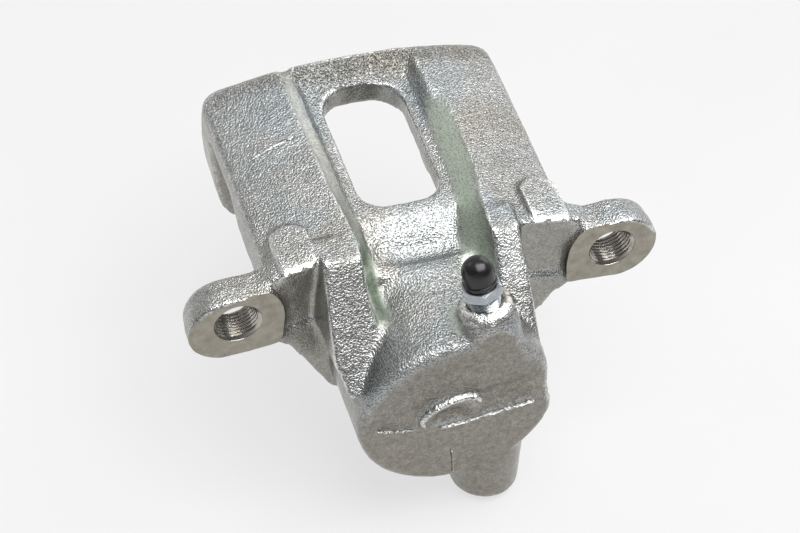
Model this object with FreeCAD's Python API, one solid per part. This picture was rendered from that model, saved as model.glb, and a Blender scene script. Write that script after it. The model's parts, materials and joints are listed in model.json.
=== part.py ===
import FreeCAD, Part
import math
import os

V = FreeCAD.Vector

# Frame: origin midway between the two guide-pin holes, on their machined faces.
# +X to the right-hand lug, +Y along the piston towards the fingers, +Z radially outward.
# All sizes in millimetres, angles in degrees.

# ---- lugs and guide-pin threads -------------------------------------------------
PIN_X = 58.5                # guide-pin axis, from the centre plane
PIN_MAJOR_R = 7.0           # M14 thread
PIN_PITCH = 1.25
PIN_CRESTS = 7
PIN_FIRST_CREST = 1.6
LUG_R = 12.1
LUG_THICK = 10.8
LUG_RIM_CHAMFER = 0.8
LUG_BACK_ROUND = 2.6
LUG_LEFT = (2.6, -1.6)      # outward shift of the round end, height of the lug's middle
LUG_RIGHT = (1.7, -0.2)
LUG_NECK_X = 46.0           # where the lug's neck leaves the web
LUG_NECK_Y = 2.0
LUG_FACE_X = 47.3           # straight inner end of the machined face
LUG_FACE_TOP = [(LUG_FACE_X, 5.0), (50.0, 8.0)]
LUG_NECK_TOP = [(52.0, 10.8), (LUG_NECK_X, 13.6)]
LUG_NECK_LOW = [(LUG_NECK_X, -13.2), (52.0, -12.8)]
PIN_LEAD = (7.1, 0.45)      # radius and depth of the countersink on the machined face
PIN_EXIT = (7.3, 0.8)       # and on the back

# ---- bridge ---------------------------------------------------------------------
BRIDGE_HALF = 47.1
BRIDGE_SHIFT = -1.2         # the casting's bridge sits off the centre plane
CROWN_Z = 17.5
CROWN_R = 165.0             # arc of the bridge top, concentric with the disc
BRIDGE_UNDER_Z = 4.0
BRIDGE_FRONT_Y = 7.0
FAR_Y = 84.8
FAR_CORNER_R = 6.0
TOP_EDGE_R = 2.4
GUSSET_WIDE = 6.0           # side walls that run down to the lugs
GUSSET_LOW_Z = -2.0

# ---- channel and window between the rails ---------------------------------------
CHANNEL_Z = 11.5
CHANNEL_FLOOR_HALF = 16.5
CHANNEL_TOP_HALF = 21.2
CHANNEL_END_Y = 76.0
CHANNEL_NEAR_Y = 21.0
VALLEY = [(2.0, 5.2), (10.0, 6.4), (16.5, 9.6), (CHANNEL_NEAR_Y, CHANNEL_Z)]
WINDOW_HALF = 12.7
WINDOW_NEAR_Y = 24.6
WINDOW_FAR_Y = 75.6
WINDOW_NEAR_R = 8.0
WINDOW_FAR_R = 10.0

# ---- fingers --------------------------------------------------------------------
FINGER_FACE_Y = 70.0
FINGER_TIP_Z = -32.0
FINGER_TIP_Y = 77.0
FINGER_TIP_HALF = 41.4
FINGER_TIP_R = 5.0
FORK_HALF = 24.0
FORK_TOP_Z = 3.2
FORK_CORNER_R = 14.0
FINGER_ROOT_Z = 7.0         # the fingers start inside the bridge
FINGER_FRONT = [(BRIDGE_HALF, FINGER_ROOT_Z), (BRIDGE_HALF, 0.0), (44.8, -16.0),
                (FINGER_TIP_HALF, FINGER_TIP_Z)]                            # half, (x, z)
FINGER_BACK = [(FAR_Y, -4.0), (82.2, -18.0), (FINGER_TIP_Y, FINGER_TIP_Z)]  # arc, (y, z)

# ---- cylinder -------------------------------------------------------------------
BORE_Z = -24.0
CYL_R = 31.0
CYL_X = 1.9                 # the cast cylinder sits off its bore
CYL_Z = -25.6
FLANK = [(28.8, -12.0), (29.0, -20.0), (31.2, -29.0), (31.6, -34.0)]    # right side, (x, z)
CYL_BACK_Y = -30.0
CYL_EDGE_R = 3.5
MOUTH_Y = 20.0
FLANGE_R = 35.5
FLANGE_Y = 13.0
BORE_R = 21.45
BORE_FLOOR_Y = -23.0
SEAL_Y = 8.0
SEAL_WIDE = 3.0
SEAL_OUTER_R = 24.4
BOOT_SEAT_Y = 13.8
BOOT_SEAT_R = 26.0
RING_GROOVE_Y = 18.2
RING_WIRE_R = 0.9
RING_GROOVE_R = 26.4

# ---- buttress ribs and web plates -----------------------------------------------
RIB_LEFT = (20.5, 33.6)     # inner and outer faces, from the centre plane
RIB_RIGHT = (19.5, 29.2)
RIB_TOP_Z = 16.2
RIB_TOP_Y = 2.0
RIB_FOOT_Y = -24.5
RIB_FOOT_Z = -14.5
RIB_ROOT_Y = 12.0
RIB_UNDER = [(-22.0, -25.0), (-8.0, -35.0), (6.0, -42.0), (RIB_ROOT_Y, -42.0)]          # (y, z)
RIB_FLANK = [(29.2, -20.0), (28.4, -27.0), (25.0, -40.0), (14.0, -42.0), (14.0, -8.0)]  # (x, z)
WEB_FRONT_Y = 4.0           # at the rib
WEB_LUG_Y = 1.2             # at the lug
WEB_BACK_Y = 11.0
WEB_TOP_Z = 14.6
WEB_INNER_X = 23.0
LEDGE_Z = -9.0
LEDGE_STEP = 1.5
WEB_UPPER = [(WEB_INNER_X, WEB_TOP_Z), (44.6, 14.0), (46.6, 9.0), (47.1, -12.0), (44.0, -14.0),
             (WEB_INNER_X, -14.0)]                                          # (x, z)
WEB_LOWER = [(18.0, LEDGE_Z), (46.5, LEDGE_Z), (46.0, -13.2), (42.0, -16.8), (28.0, -41.0),
             (12.0, -50.0)]
WEB_PLAN_X = (10.0, 34.0, 50.0)         # inner end, bend and outer end of the web's front in plan
WEB_ROOT_Y = 20.0
PAD_X0 = 33.0
PAD_X1 = 45.0
PAD_Y0 = 6.5
PAD_ROUND_Y = 21.5
PAD_Z = 15.6
PAD_FALL = 2.2              # the pad's roof drops this much towards its outer side
GUSSET_END = [(22.0, GUSSET_LOW_Z), (36.0, -0.6), (47.0, BRIDGE_UNDER_Z)]   # arc, (y, z)

# ---- bleed screw, its boss and its cap ------------------------------------------
BLEED_FACE = V(9.6, -21.4, 12.9)
BLEED_UP = V(-0.186, 0.20, 0.962).normalize()
BLEED_BOSS_R = 9.0
BLEED_BOSS_LONG = 29.0
BLEED_BOSS_DOME = [(6.0, 0.0), (6.9, 0.7), (7.4, 1.8), (7.6, 3.2), (BLEED_BOSS_R, 6.6)]  # (r, depth)
BLEED_MAJOR_R = 5.0         # M10 x 1 thread
BLEED_PITCH = 1.0
BLEED_DEPTH = 11.0
BLEED_MOUTH = (5.4, 1.0)    # radius and depth of the hole's plain mouth
BLEED_CRESTS_OUT = 4        # thread turns that show above the boss
BLEED_CRESTS_IN = 6
HEX_AF = 11.0
HEX_TURN = 24.0
HEX_LOW = 3.8
HEX_TOP = 7.2
NIPPLE_R = 3.1
NIPPLE_WAIST_R = 2.6
NIPPLE_TOP = 14.4
NIPPLE_BARB = (11.0, 11.8)  # heights between which the nipple is widest
NIPPLE_END_R = 2.2
SCREW_BORE_R = 0.9
SCREW_CROSS_R = 0.7
CAP_R = 4.9
CAP_RIM_R = 5.15
CAP_RIM_LONG = 1.6
CAP_BOTTOM = 7.3
CAP_TOP = 16.7
DRILL_R = 1.4
BLEED_INTO_BORE = V(8.0, -20.0, -10.0)  # where its drilling meets the bore

# ---- hose port ------------------------------------------------------------------
PORT_X = 15.8
PORT_Y = -19.4
PORT_R = 11.0
PORT_BOTTOM_Z = -70.6
PORT_MAJOR_R = 5.0          # M10 x 1 thread
PORT_PITCH = 1.0
PORT_DEPTH = 12.0
PORT_FOOT_R = 1.5
PORT_LEAD = 0.5

# ---- piston, seal, boot, retaining ring -----------------------------------------
FIT = 0.05                  # radial clearance of a sliding or turning fit
PISTON_R = BORE_R - FIT
PISTON_BACK_Y = -21.0
PISTON_FRONT_Y = 22.0
PISTON_WALL = 4.9
PISTON_FLOOR = 6.0
PISTON_GROOVE_Y = 18.4
PISTON_GROOVE_WIDE = 2.0
PISTON_GROOVE_DEEP = 1.0

PISTON_BACK_CHAMFER = 1.5
PISTON_NOSE = 0.3           # the rim beyond the boot's groove is this much smaller
PISTON_CORNER_R = 3.0
SEAL_FIT = 0.03
SEAL_CHAMFER = 0.35
BOOT_SKIN = 0.9
BOOT_BEAD_WIDE = 2.2
BOOT_CLEAR = 0.5            # between the piston and the boot's sleeve
RING_PRELOAD = 0.25
RING_GAP_DEG = 12.0

# ---- cast marks -----------------------------------------------------------------
MOON_X = -1.4
MOON_OUTER = (9.4, -26.6)   # radius, height of the centre
MOON_INNER = (6.4, -27.4)
MOON_LOW_Z = -28.5
MOON_HIGH = 1.0
PARTING = [(-21.0, -29.6, -28.8), (-9.0, -29.3, -28.4), (6.0, -29.2, -28.2), (26.5, -26.0, -24.8)]
PARTING_HIGH = (0.5, 0.8, 0.8)          # of each stretch between its (x, low z, high z) points
RAIL_LINE_X = (-41.5, -25.5)
RAIL_LINE_Y = (52.6, 54.0)
RAIL_LINE_HIGH = 0.6

THREAD_DEPTH = 0.5413       # thread height over pitch
X_AXIS = V(1, 0, 0)
Y_AXIS = V(0, 1, 0)
Z_AXIS = V(0, 0, 1)
BORE_AXIS_POINT = V(0, 0, BORE_Z)


# ---- helpers --------------------------------------------------------------------
def face_of(edges):
    return Part.Face(Part.Wire(edges))


def polygon(points):
    return Part.Face(Part.makePolygon(points + [points[0]]))


def prism_y(points_xz, y0, y1):
    """Polygon in the XZ plane, extruded from y0 to y1."""
    return polygon([V(x, y0, z) for x, z in points_xz]).extrude(V(0, y1 - y0, 0))


def prism_x(points_yz, x0, x1):
    """Polygon in the YZ plane, extruded from x0 to x1."""
    return polygon([V(x0, y, z) for y, z in points_yz]).extrude(V(x1 - x0, 0, 0))


def cylinder(r, base, axis, length):
    return Part.makeCylinder(r, length, base, axis)


def turned(profile, origin, axis):
    """Closed (radius, height) profile turned about an axis; height runs along it."""
    pieces = polygon([V(r, 0, h) for r, h in profile]).revolve(V(0, 0, 0), Z_AXIS, 360)
    placement = FreeCAD.Placement(origin, FreeCAD.Rotation(Z_AXIS, axis))
    return pieces.transformed(placement.toMatrix())


def thread_side(major_r, pitch, first, count, offset=0.0):
    """Zigzag (radius, height) points of a 60 degree thread: count crests, one pitch apart."""
    minor_r = major_r - THREAD_DEPTH * pitch
    half_root = 0.375 * pitch
    half_crest = 0.0625 * pitch
    points = []
    for i in range(count):
        middle = first + i * pitch
        points.append((minor_r + offset, middle - half_root))
        points.append((major_r + offset, middle - half_crest))
        points.append((major_r + offset, middle + half_crest))
        points.append((minor_r + offset, middle + half_root))
    return points


def union(shapes):
    result = shapes[0]
    for shape in shapes[1:]:
        result = result.fuse(shape)
    return result.removeSplitter()


def mirrored(shape):
    return shape.mirror(V(0, 0, 0), X_AXIS)


def round_edges(shape, radius, wanted):
    edges = [edge for edge in shape.Edges if wanted(edge)]
    return shape.makeFillet(radius, edges)


# ---- the casting, piece by piece ------------------------------------------------
def arc_top_z(x):
    return CROWN_Z - CROWN_R + math.sqrt(CROWN_R ** 2 - x ** 2)


def plan_outline(low, high):
    """Plan shape of the bridge: rectangle with rounded far corners."""
    block = Part.makeBox(2 * BRIDGE_HALF, FAR_Y - BRIDGE_FRONT_Y, high - low,
                         V(-BRIDGE_HALF, BRIDGE_FRONT_Y, low))

    def far_corner(edge):
        box = edge.BoundBox
        return box.ZLength > 1.0 and box.YMin > FAR_Y - 0.01

    return round_edges(block, FAR_CORNER_R, far_corner)


def bridge():
    """Arc-topped slab with rounded top edges."""
    side_z = arc_top_z(BRIDGE_HALF)
    a = V(-BRIDGE_HALF, BRIDGE_FRONT_Y, BRIDGE_UNDER_Z)
    b = V(-BRIDGE_HALF, BRIDGE_FRONT_Y, side_z)
    crown = V(0, BRIDGE_FRONT_Y, CROWN_Z)
    c = V(BRIDGE_HALF, BRIDGE_FRONT_Y, side_z)
    d = V(BRIDGE_HALF, BRIDGE_FRONT_Y, BRIDGE_UNDER_Z)
    section = face_of([
        Part.LineSegment(a, b).toShape(),
        Part.Arc(b, crown, c).toShape(),
        Part.LineSegment(c, d).toShape(),
        Part.LineSegment(d, a).toShape(),
    ])
    slab = section.extrude(V(0, FAR_Y - BRIDGE_FRONT_Y, 0))
    slab = slab.common(plan_outline(BRIDGE_UNDER_Z - 1.0, CROWN_Z + 1.0))

    def top_edge(edge):
        box = edge.BoundBox
        return box.ZMin > side_z - 0.01 and box.YMax > BRIDGE_FRONT_Y + 1.0

    return round_edges(slab, TOP_EDGE_R, top_edge)


def finger_leg():
    """Outer leg: its front outline, cut by a side outline that thins to the tip."""
    outline = FINGER_FRONT + [(-x, z) for x, z in reversed(FINGER_FRONT)]
    front = prism_y(outline, FINGER_FACE_Y, FAR_Y)
    back = [V(-BRIDGE_HALF, y, z) for y, z in FINGER_BACK]
    root_near = V(-BRIDGE_HALF, FINGER_FACE_Y, FINGER_ROOT_Z)
    root_far = V(-BRIDGE_HALF, FAR_Y, FINGER_ROOT_Z)
    tip = V(-BRIDGE_HALF, FINGER_FACE_Y, FINGER_TIP_Z)
    side = face_of([
        Part.LineSegment(root_near, root_far).toShape(),
        Part.LineSegment(root_far, back[0]).toShape(),
        Part.Arc(*back).toShape(),
        Part.LineSegment(back[2], tip).toShape(),
        Part.LineSegment(tip, root_near).toShape(),
    ]).extrude(V(2 * BRIDGE_HALF, 0, 0))
    return front.common(side)


def bridge_and_fingers():
    leg = finger_leg().common(plan_outline(FINGER_TIP_Z - 1.0, CROWN_Z))
    return union([bridge(), leg]).translated(V(BRIDGE_SHIFT, 0, 0))


def fork_notch():
    """Round-topped slot between the two fingers."""
    y0 = FINGER_FACE_Y - 1.0
    top = FORK_TOP_Z
    low = FINGER_TIP_Z - 1.0
    slot = prism_y([(-FORK_HALF, low), (FORK_HALF, low), (FORK_HALF, top), (-FORK_HALF, top)],
                   y0, FAR_Y + 1.0)

    def top_corner(edge):
        box = edge.BoundBox
        return box.YLength > 5.0 and box.ZMin > top - 0.01

    return round_edges(slot, FORK_CORNER_R, top_corner)


def finger_tip_rounding():
    """What is cut away to round the four corners at the finger tips."""
    cutters = []
    for x, inward in ((FORK_HALF, 1), (FINGER_TIP_HALF + BRIDGE_SHIFT, -1)):
        centre_x = x + inward * FINGER_TIP_R
        centre_z = FINGER_TIP_Z + FINGER_TIP_R
        block = Part.makeBox(FINGER_TIP_R + 1.0, 16.0, FINGER_TIP_R + 1.0,
                             V(min(x - inward, centre_x), FINGER_FACE_Y - 1.0, FINGER_TIP_Z - 1.0))
        post = cylinder(FINGER_TIP_R, V(centre_x, FINGER_FACE_Y - 2.0, centre_z), Y_AXIS, 20.0)
        cutters.append(block.cut(post))
    outer_left = mirrored(cutters[1]).translated(V(2 * BRIDGE_SHIFT, 0, 0))
    return cutters + [mirrored(cutters[0]), outer_left]


def channel_cutter():
    """Trough between the rails: sloped sides, level floor, ramp up at the far end."""
    tall = CROWN_Z + 6.0
    slope = (CHANNEL_TOP_HALF - CHANNEL_FLOOR_HALF) / (CROWN_Z - CHANNEL_Z)
    wide = CHANNEL_FLOOR_HALF + slope * (tall - CHANNEL_Z)
    floor = CHANNEL_FLOOR_HALF
    trough = prism_y([(-floor, 0.0), (floor, 0.0), (floor, CHANNEL_Z), (wide, tall),
                      (-wide, tall), (-floor, CHANNEL_Z)], -5.0, FAR_Y + 5.0)
    side = prism_x(VALLEY + [(CHANNEL_END_Y, CHANNEL_Z), (FAR_Y, CROWN_Z),
                             (FAR_Y + 4.0, tall), (VALLEY[0][0], tall)], -30.0, 30.0)
    return trough.common(side)


def window_cutter():
    low = BRIDGE_UNDER_Z - 4.0
    tall = CROWN_Z + 5.0 - low
    block = Part.makeBox(2 * WINDOW_HALF, WINDOW_FAR_Y - WINDOW_NEAR_Y, tall,
                         V(-WINDOW_HALF, WINDOW_NEAR_Y, low))

    def corner_at(y):
        def test(edge):
            box = edge.BoundBox
            return box.ZLength > 5.0 and abs(box.YMin - y) < 0.01
        return test

    block = round_edges(block, WINDOW_NEAR_R, corner_at(WINDOW_NEAR_Y))
    return round_edges(block, WINDOW_FAR_R, corner_at(WINDOW_FAR_Y))


def cylinder_body():
    """Cylinder with a rounded closed end, and the flange round its mouth."""
    barrel = cylinder(CYL_R, V(CYL_X, CYL_BACK_Y, CYL_Z), Y_AXIS, MOUTH_Y - CYL_BACK_Y)

    def back_edge(edge):
        box = edge.BoundBox
        return box.YMax < CYL_BACK_Y + 0.01

    barrel = round_edges(barrel, CYL_EDGE_R, back_edge)
    beyond = CYL_X + CYL_R + 1.0
    outside = prism_y(FLANK + [(beyond, FLANK[-1][1]), (beyond, FLANK[0][1])], CYL_BACK_Y - 1.0, 0.0)
    barrel = barrel.cut(outside)
    flange = cylinder(FLANGE_R, V(0, FLANGE_Y, BORE_Z), Y_AXIS, MOUTH_Y - FLANGE_Y)
    return [barrel, flange]


def neck():
    """Fill between the cylinder and the bridge, under the valley."""
    far_y = WINDOW_NEAR_Y + 4.0
    profile = VALLEY + [(far_y, CHANNEL_Z), (far_y, BRIDGE_UNDER_Z), (MOUTH_Y, BRIDGE_UNDER_Z),
                        (MOUTH_Y, -12.0), (VALLEY[0][0], -12.0)]
    return prism_x(profile, -CHANNEL_TOP_HALF, CHANNEL_TOP_HALF)


def buttress(inner, outer):
    """Right-hand rib that slopes from the rail down to the cylinder's flank."""
    side = prism_x([(RIB_ROOT_Y, RIB_TOP_Z), (RIB_TOP_Y, RIB_TOP_Z), (RIB_FOOT_Y, RIB_FOOT_Z)]
                   + RIB_UNDER, 10.0, 40.0)
    above = RIB_TOP_Z + 1.0
    front = prism_y([(inner, above), (outer - 1.0, above), (outer, 2.0), (outer + 0.2, -8.0)]
                    + RIB_FLANK + [(inner - 2.3, -3.0), (inner - 0.5, 4.0)], -40.0, 20.0)
    return side.common(front)


def web():
    """Right-hand plate from the cylinder out to the lug, with its lower part set forward."""
    inner, bend, outer = WEB_PLAN_X
    plates = []
    for outline, step in ((WEB_UPPER, 0.0), (WEB_LOWER, LEDGE_STEP)):
        plan = polygon([V(inner, WEB_FRONT_Y - step, -60.0), V(bend, WEB_FRONT_Y - step, -60.0),
                        V(outer, WEB_LUG_Y - step, -60.0), V(outer, WEB_ROOT_Y, -60.0),
                        V(inner, WEB_ROOT_Y, -60.0)]).extrude(V(0, 0, 100.0))
        plates.append(prism_y(outline, -5.0, WEB_BACK_Y).common(plan))
    return plates


def rail_pad():
    """Raised half-round pad on the right-hand rail, above the web."""
    low = arc_top_z(PAD_X1) - 3.0
    middle = 0.5 * (PAD_X0 + PAD_X1)
    points = [V(PAD_X1, PAD_Y0, low), V(PAD_X0, PAD_Y0, low)]
    spring = PAD_ROUND_Y - 0.5 * (PAD_X1 - PAD_X0)
    outline = face_of([
        Part.LineSegment(points[0], points[1]).toShape(),
        Part.LineSegment(points[1], V(PAD_X0, spring, low)).toShape(),
        Part.Arc(V(PAD_X0, spring, low), V(middle, PAD_ROUND_Y, low),
                 V(PAD_X1, spring, low)).toShape(),
        Part.LineSegment(V(PAD_X1, spring, low), points[0]).toShape(),
    ])
    pad = outline.extrude(V(0, 0, PAD_Z - low + 4.0))
    roof = prism_y([(PAD_X0 - 1, low), (PAD_X1 + 1, low), (PAD_X1 + 1, PAD_Z - PAD_FALL),
                    (PAD_X0 - 1, PAD_Z)], PAD_Y0 - 1.0, PAD_ROUND_Y + 1.0)
    return pad.common(roof)


def side_gusset():
    """Right-hand side wall under the bridge, running down to the lug."""
    x0 = BRIDGE_HALF - GUSSET_WIDE
    near_y = WEB_BACK_Y - 2.0
    root_z = BRIDGE_UNDER_Z + 3.0
    arc = [V(x0, y, z) for y, z in GUSSET_END]
    high = V(x0, near_y, root_z)
    low = V(x0, near_y, GUSSET_LOW_Z)
    end = V(x0, GUSSET_END[2][0], root_z)
    outline = face_of([
        Part.LineSegment(high, low).toShape(),
        Part.LineSegment(low, arc[0]).toShape(),
        Part.Arc(*arc).toShape(),
        Part.LineSegment(arc[2], end).toShape(),
        Part.LineSegment(end, high).toShape(),
    ])
    return outline.extrude(V(GUSSET_WIDE, 0, 0))


def lug(reach, middle_z):
    """Right-hand lug: round outer end, straight neck back to the web."""
    high = middle_z + LUG_R
    low = middle_z - LUG_R
    far_x = PIN_X + reach
    end = cylinder(LUG_R, V(far_x, 0, middle_z), Y_AXIS, LUG_THICK)
    ring = cylinder(LUG_R, V(PIN_X, 0, middle_z), Y_AXIS, LUG_THICK)
    middle = prism_y([(PIN_X, high), (far_x, high), (far_x, low), (PIN_X, low)], 0.0, LUG_THICK)
    head = union([end, ring, middle])

    def front_rim(edge):
        return edge.BoundBox.YMax < 0.01

    def back_rim(edge):
        return edge.BoundBox.YMin > LUG_THICK - 0.01

    head = head.makeChamfer(LUG_RIM_CHAMFER, [edge for edge in head.Edges if front_rim(edge)])
    head = round_edges(head, LUG_BACK_ROUND, back_rim)
    face_part = prism_y([(PIN_X, 9.0), (PIN_X, low), (LUG_FACE_X, low + 0.6)] + LUG_FACE_TOP,
                        0.0, LUG_THICK - LUG_BACK_ROUND)
    neck_part = prism_y([(PIN_X, high - 0.2)] + LUG_NECK_TOP + LUG_NECK_LOW + [(PIN_X, low)],
                        LUG_NECK_Y, LUG_THICK - 0.8)
    return [head, face_part, neck_part]


def bleed_boss():
    """Round boss with a domed rim at the top of the closed end, tilted with the bleed screw."""
    profile = [(0.0, 0.0)] + BLEED_BOSS_DOME + [(BLEED_BOSS_R, BLEED_BOSS_LONG), (0.0, BLEED_BOSS_LONG)]
    boss = turned(profile, BLEED_FACE, -BLEED_UP)
    room = Part.makeBox(60.0, 40.0, 60.0, V(-20.0, CYL_BACK_Y - 0.6, -30.0))
    return boss.common(room)


def port_boss():
    """Vertical boss under the closed end, for the hose."""
    long = BORE_Z - PORT_BOTTOM_Z
    boss = cylinder(PORT_R, V(PORT_X, PORT_Y, PORT_BOTTOM_Z), Z_AXIS, long)

    def foot(edge):
        return edge.BoundBox.ZMax < PORT_BOTTOM_Z + 0.01

    return round_edges(boss, PORT_FOOT_R, foot)


def end_marks():
    """Raised half-moon rim and parting ridge on the closed end."""
    y0 = CYL_BACK_Y - MOON_HIGH
    long = MOON_HIGH + 2.0
    outer_r, outer_z = MOON_OUTER
    inner_r, inner_z = MOON_INNER
    outer = cylinder(outer_r, V(MOON_X, y0, outer_z), Y_AXIS, long)
    inner = cylinder(inner_r, V(MOON_X, y0 - 1.0, inner_z), Y_AXIS, long + 2.0)
    upper = Part.makeBox(30.0, long, 20.0, V(MOON_X - 15.0, y0, MOON_LOW_Z))
    marks = [outer.cut(inner).common(upper)]
    for (x0, low0, high0), (x1, low1, high1), proud in zip(PARTING, PARTING[1:], PARTING_HIGH):
        marks.append(prism_y([(x0, low0), (x1, low1), (x1, high1), (x0, high0)],
                             CYL_BACK_Y - proud, CYL_BACK_Y + 2.0))
    return marks


def rail_line():
    """Short raised casting line across the left-hand rail."""
    x0, x1 = RAIL_LINE_X
    z0 = arc_top_z(x0)
    z1 = arc_top_z(x1)
    return prism_y([(x0, z0 - 2.0), (x1, z1 - 2.0), (x1, z1 + RAIL_LINE_HIGH), (x0, z0 + RAIL_LINE_HIGH)],
                   *RAIL_LINE_Y)


# ---- machined features ----------------------------------------------------------
def bore_cutter():
    """Everything turned out of the cylinder from its mouth."""
    out = MOUTH_Y + 5.0
    mid_ring = RING_GROOVE_Y
    profile = [
        (0.0, BORE_FLOOR_Y),
        (BORE_R - 1.0, BORE_FLOOR_Y),
        (BORE_R, BORE_FLOOR_Y + 1.0),
        (BORE_R, SEAL_Y),
        (SEAL_OUTER_R, SEAL_Y),
        (SEAL_OUTER_R, SEAL_Y + SEAL_WIDE),
        (BORE_R, SEAL_Y + SEAL_WIDE),
        (BORE_R, BOOT_SEAT_Y),
        (BOOT_SEAT_R, BOOT_SEAT_Y),
        (BOOT_SEAT_R, mid_ring - RING_WIRE_R),
        (RING_GROOVE_R, mid_ring - 0.5 * RING_WIRE_R),
        (RING_GROOVE_R, mid_ring + 0.5 * RING_WIRE_R),
        (BOOT_SEAT_R, mid_ring + RING_WIRE_R),
        (BOOT_SEAT_R, MOUTH_Y - 0.6),
        (BOOT_SEAT_R + 0.8, MOUTH_Y + 0.2),
        (BOOT_SEAT_R + 0.8, out),
        (0.0, out),
    ]
    return turned(profile, BORE_AXIS_POINT, Y_AXIS)


def pin_thread_cutter(side):
    """Threaded guide-pin hole through one lug, with a countersink at each face."""
    minor_r = PIN_MAJOR_R - THREAD_DEPTH * PIN_PITCH
    lead_r, lead_deep = PIN_LEAD
    exit_r, exit_deep = PIN_EXIT
    profile = [(0.0, -1.0), (lead_r, -1.0), (lead_r, 0.0), (minor_r, lead_deep)]
    profile += thread_side(PIN_MAJOR_R, PIN_PITCH, PIN_FIRST_CREST, PIN_CRESTS)
    profile += [(minor_r, LUG_THICK - exit_deep), (exit_r, LUG_THICK)]
    profile += [(exit_r, LUG_THICK + 1.0), (0.0, LUG_THICK + 1.0)]
    return turned(profile, V(side * PIN_X, 0, 0), Y_AXIS)


def bleed_hole_cutter():
    """Threaded hole with a conical seat, and the drilling from it to the bore."""
    down = -BLEED_UP
    low = BLEED_DEPTH
    mouth_r, mouth_deep = BLEED_MOUTH
    minor_r = BLEED_MAJOR_R - THREAD_DEPTH * BLEED_PITCH + FIT
    first = mouth_deep + 0.5 * BLEED_PITCH
    profile = [(0.0, -4.0), (mouth_r, -4.0), (mouth_r, mouth_deep), (minor_r, mouth_deep)]
    profile += thread_side(BLEED_MAJOR_R, BLEED_PITCH, first, BLEED_CRESTS_IN, FIT)
    profile += [(minor_r, low - 1.0), (DRILL_R, low + minor_r - DRILL_R - 1.0)]
    profile += [(DRILL_R, low + 4.0), (0.0, low + 4.0)]
    hole = turned(profile, BLEED_FACE, down)
    start = BLEED_FACE + down * (low + 3.0)
    path = BLEED_INTO_BORE - start
    drilling = cylinder(DRILL_R, start, path, path.Length)
    knuckle = Part.makeSphere(DRILL_R, start)
    return [hole, drilling, knuckle]


def port_cutter():
    """Threaded hose port and the drilling up into the bore."""
    minor_r = PORT_MAJOR_R - THREAD_DEPTH * PORT_PITCH
    lead_r = PORT_MAJOR_R + PORT_LEAD
    up_to = BORE_Z - PORT_BOTTOM_Z - 8.0
    crests = int(PORT_DEPTH / PORT_PITCH) - 1
    profile = [(0.0, -1.0), (lead_r, -1.0), (lead_r, 0.0), (minor_r, lead_r - minor_r)]
    profile += thread_side(PORT_MAJOR_R, PORT_PITCH, 1.5 * PORT_PITCH, crests)
    profile += [(minor_r, PORT_DEPTH + 1.0), (DRILL_R, PORT_DEPTH + 3.6), (DRILL_R, up_to)]
    profile += [(0.0, up_to)]
    return turned(profile, V(PORT_X, PORT_Y, PORT_BOTTOM_Z), Z_AXIS)


def housing():
    shift = V(BRIDGE_SHIFT, 0, 0)
    sides = web() + [mirrored(plate) for plate in web()]
    sides += lug(*LUG_RIGHT) + [mirrored(shape) for shape in lug(*LUG_LEFT)]
    sides += [buttress(*RIB_RIGHT), mirrored(buttress(*RIB_LEFT)), rail_pad(), mirrored(rail_pad())]
    sides += [side_gusset().translated(shift), mirrored(side_gusset()).translated(shift)]
    upper = bridge_and_fingers().cut(fork_notch())
    for cutter in finger_tip_rounding():
        upper = upper.cut(cutter)
    upper = upper.cut(channel_cutter())
    bosses = [bleed_boss(), port_boss(), rail_line()] + end_marks()
    cast = union([upper, neck()] + cylinder_body() + sides + bosses)
    cast = cast.cut(window_cutter())
    tools = [bore_cutter(), pin_thread_cutter(1), pin_thread_cutter(-1), port_cutter()]
    for tool in tools + bleed_hole_cutter():
        cast = cast.cut(tool)
    return cast


# ---- the loose pieces -----------------------------------------------------------
def piston():
    """Cup piston, open towards the pad, with the boot's groove near its rim."""
    inner_r = PISTON_R - PISTON_WALL
    groove_r = PISTON_R - PISTON_GROOVE_DEEP
    g0 = PISTON_GROOVE_Y
    g1 = PISTON_GROOVE_Y + PISTON_GROOVE_WIDE
    profile = [
        (0.0, PISTON_BACK_Y),
        (PISTON_R - PISTON_BACK_CHAMFER, PISTON_BACK_Y),
        (PISTON_R, PISTON_BACK_Y + PISTON_BACK_CHAMFER),
        (PISTON_R, g0),
        (groove_r, g0),
        (groove_r, g1),
        (PISTON_R - PISTON_NOSE, g1),
        (PISTON_R - PISTON_NOSE, PISTON_FRONT_Y - 0.5),
        (PISTON_R - 0.8, PISTON_FRONT_Y),
        (inner_r + 0.5, PISTON_FRONT_Y),
        (inner_r, PISTON_FRONT_Y - 0.5),
        (inner_r, PISTON_BACK_Y + PISTON_FLOOR + PISTON_CORNER_R),
        (inner_r - PISTON_CORNER_R, PISTON_BACK_Y + PISTON_FLOOR),
        (0.0, PISTON_BACK_Y + PISTON_FLOOR),
    ]
    return turned(profile, BORE_AXIS_POINT, Y_AXIS)


def piston_seal():
    """Square-section ring that fills the seal groove."""
    inner_r = PISTON_R + SEAL_FIT
    profile = [
        (inner_r, SEAL_Y),
        (SEAL_OUTER_R, SEAL_Y),
        (SEAL_OUTER_R, SEAL_Y + SEAL_WIDE),
        (inner_r + SEAL_CHAMFER, SEAL_Y + SEAL_WIDE),
        (inner_r, SEAL_Y + SEAL_WIDE - SEAL_CHAMFER),
    ]
    return turned(profile, BORE_AXIS_POINT, Y_AXIS)


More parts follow.
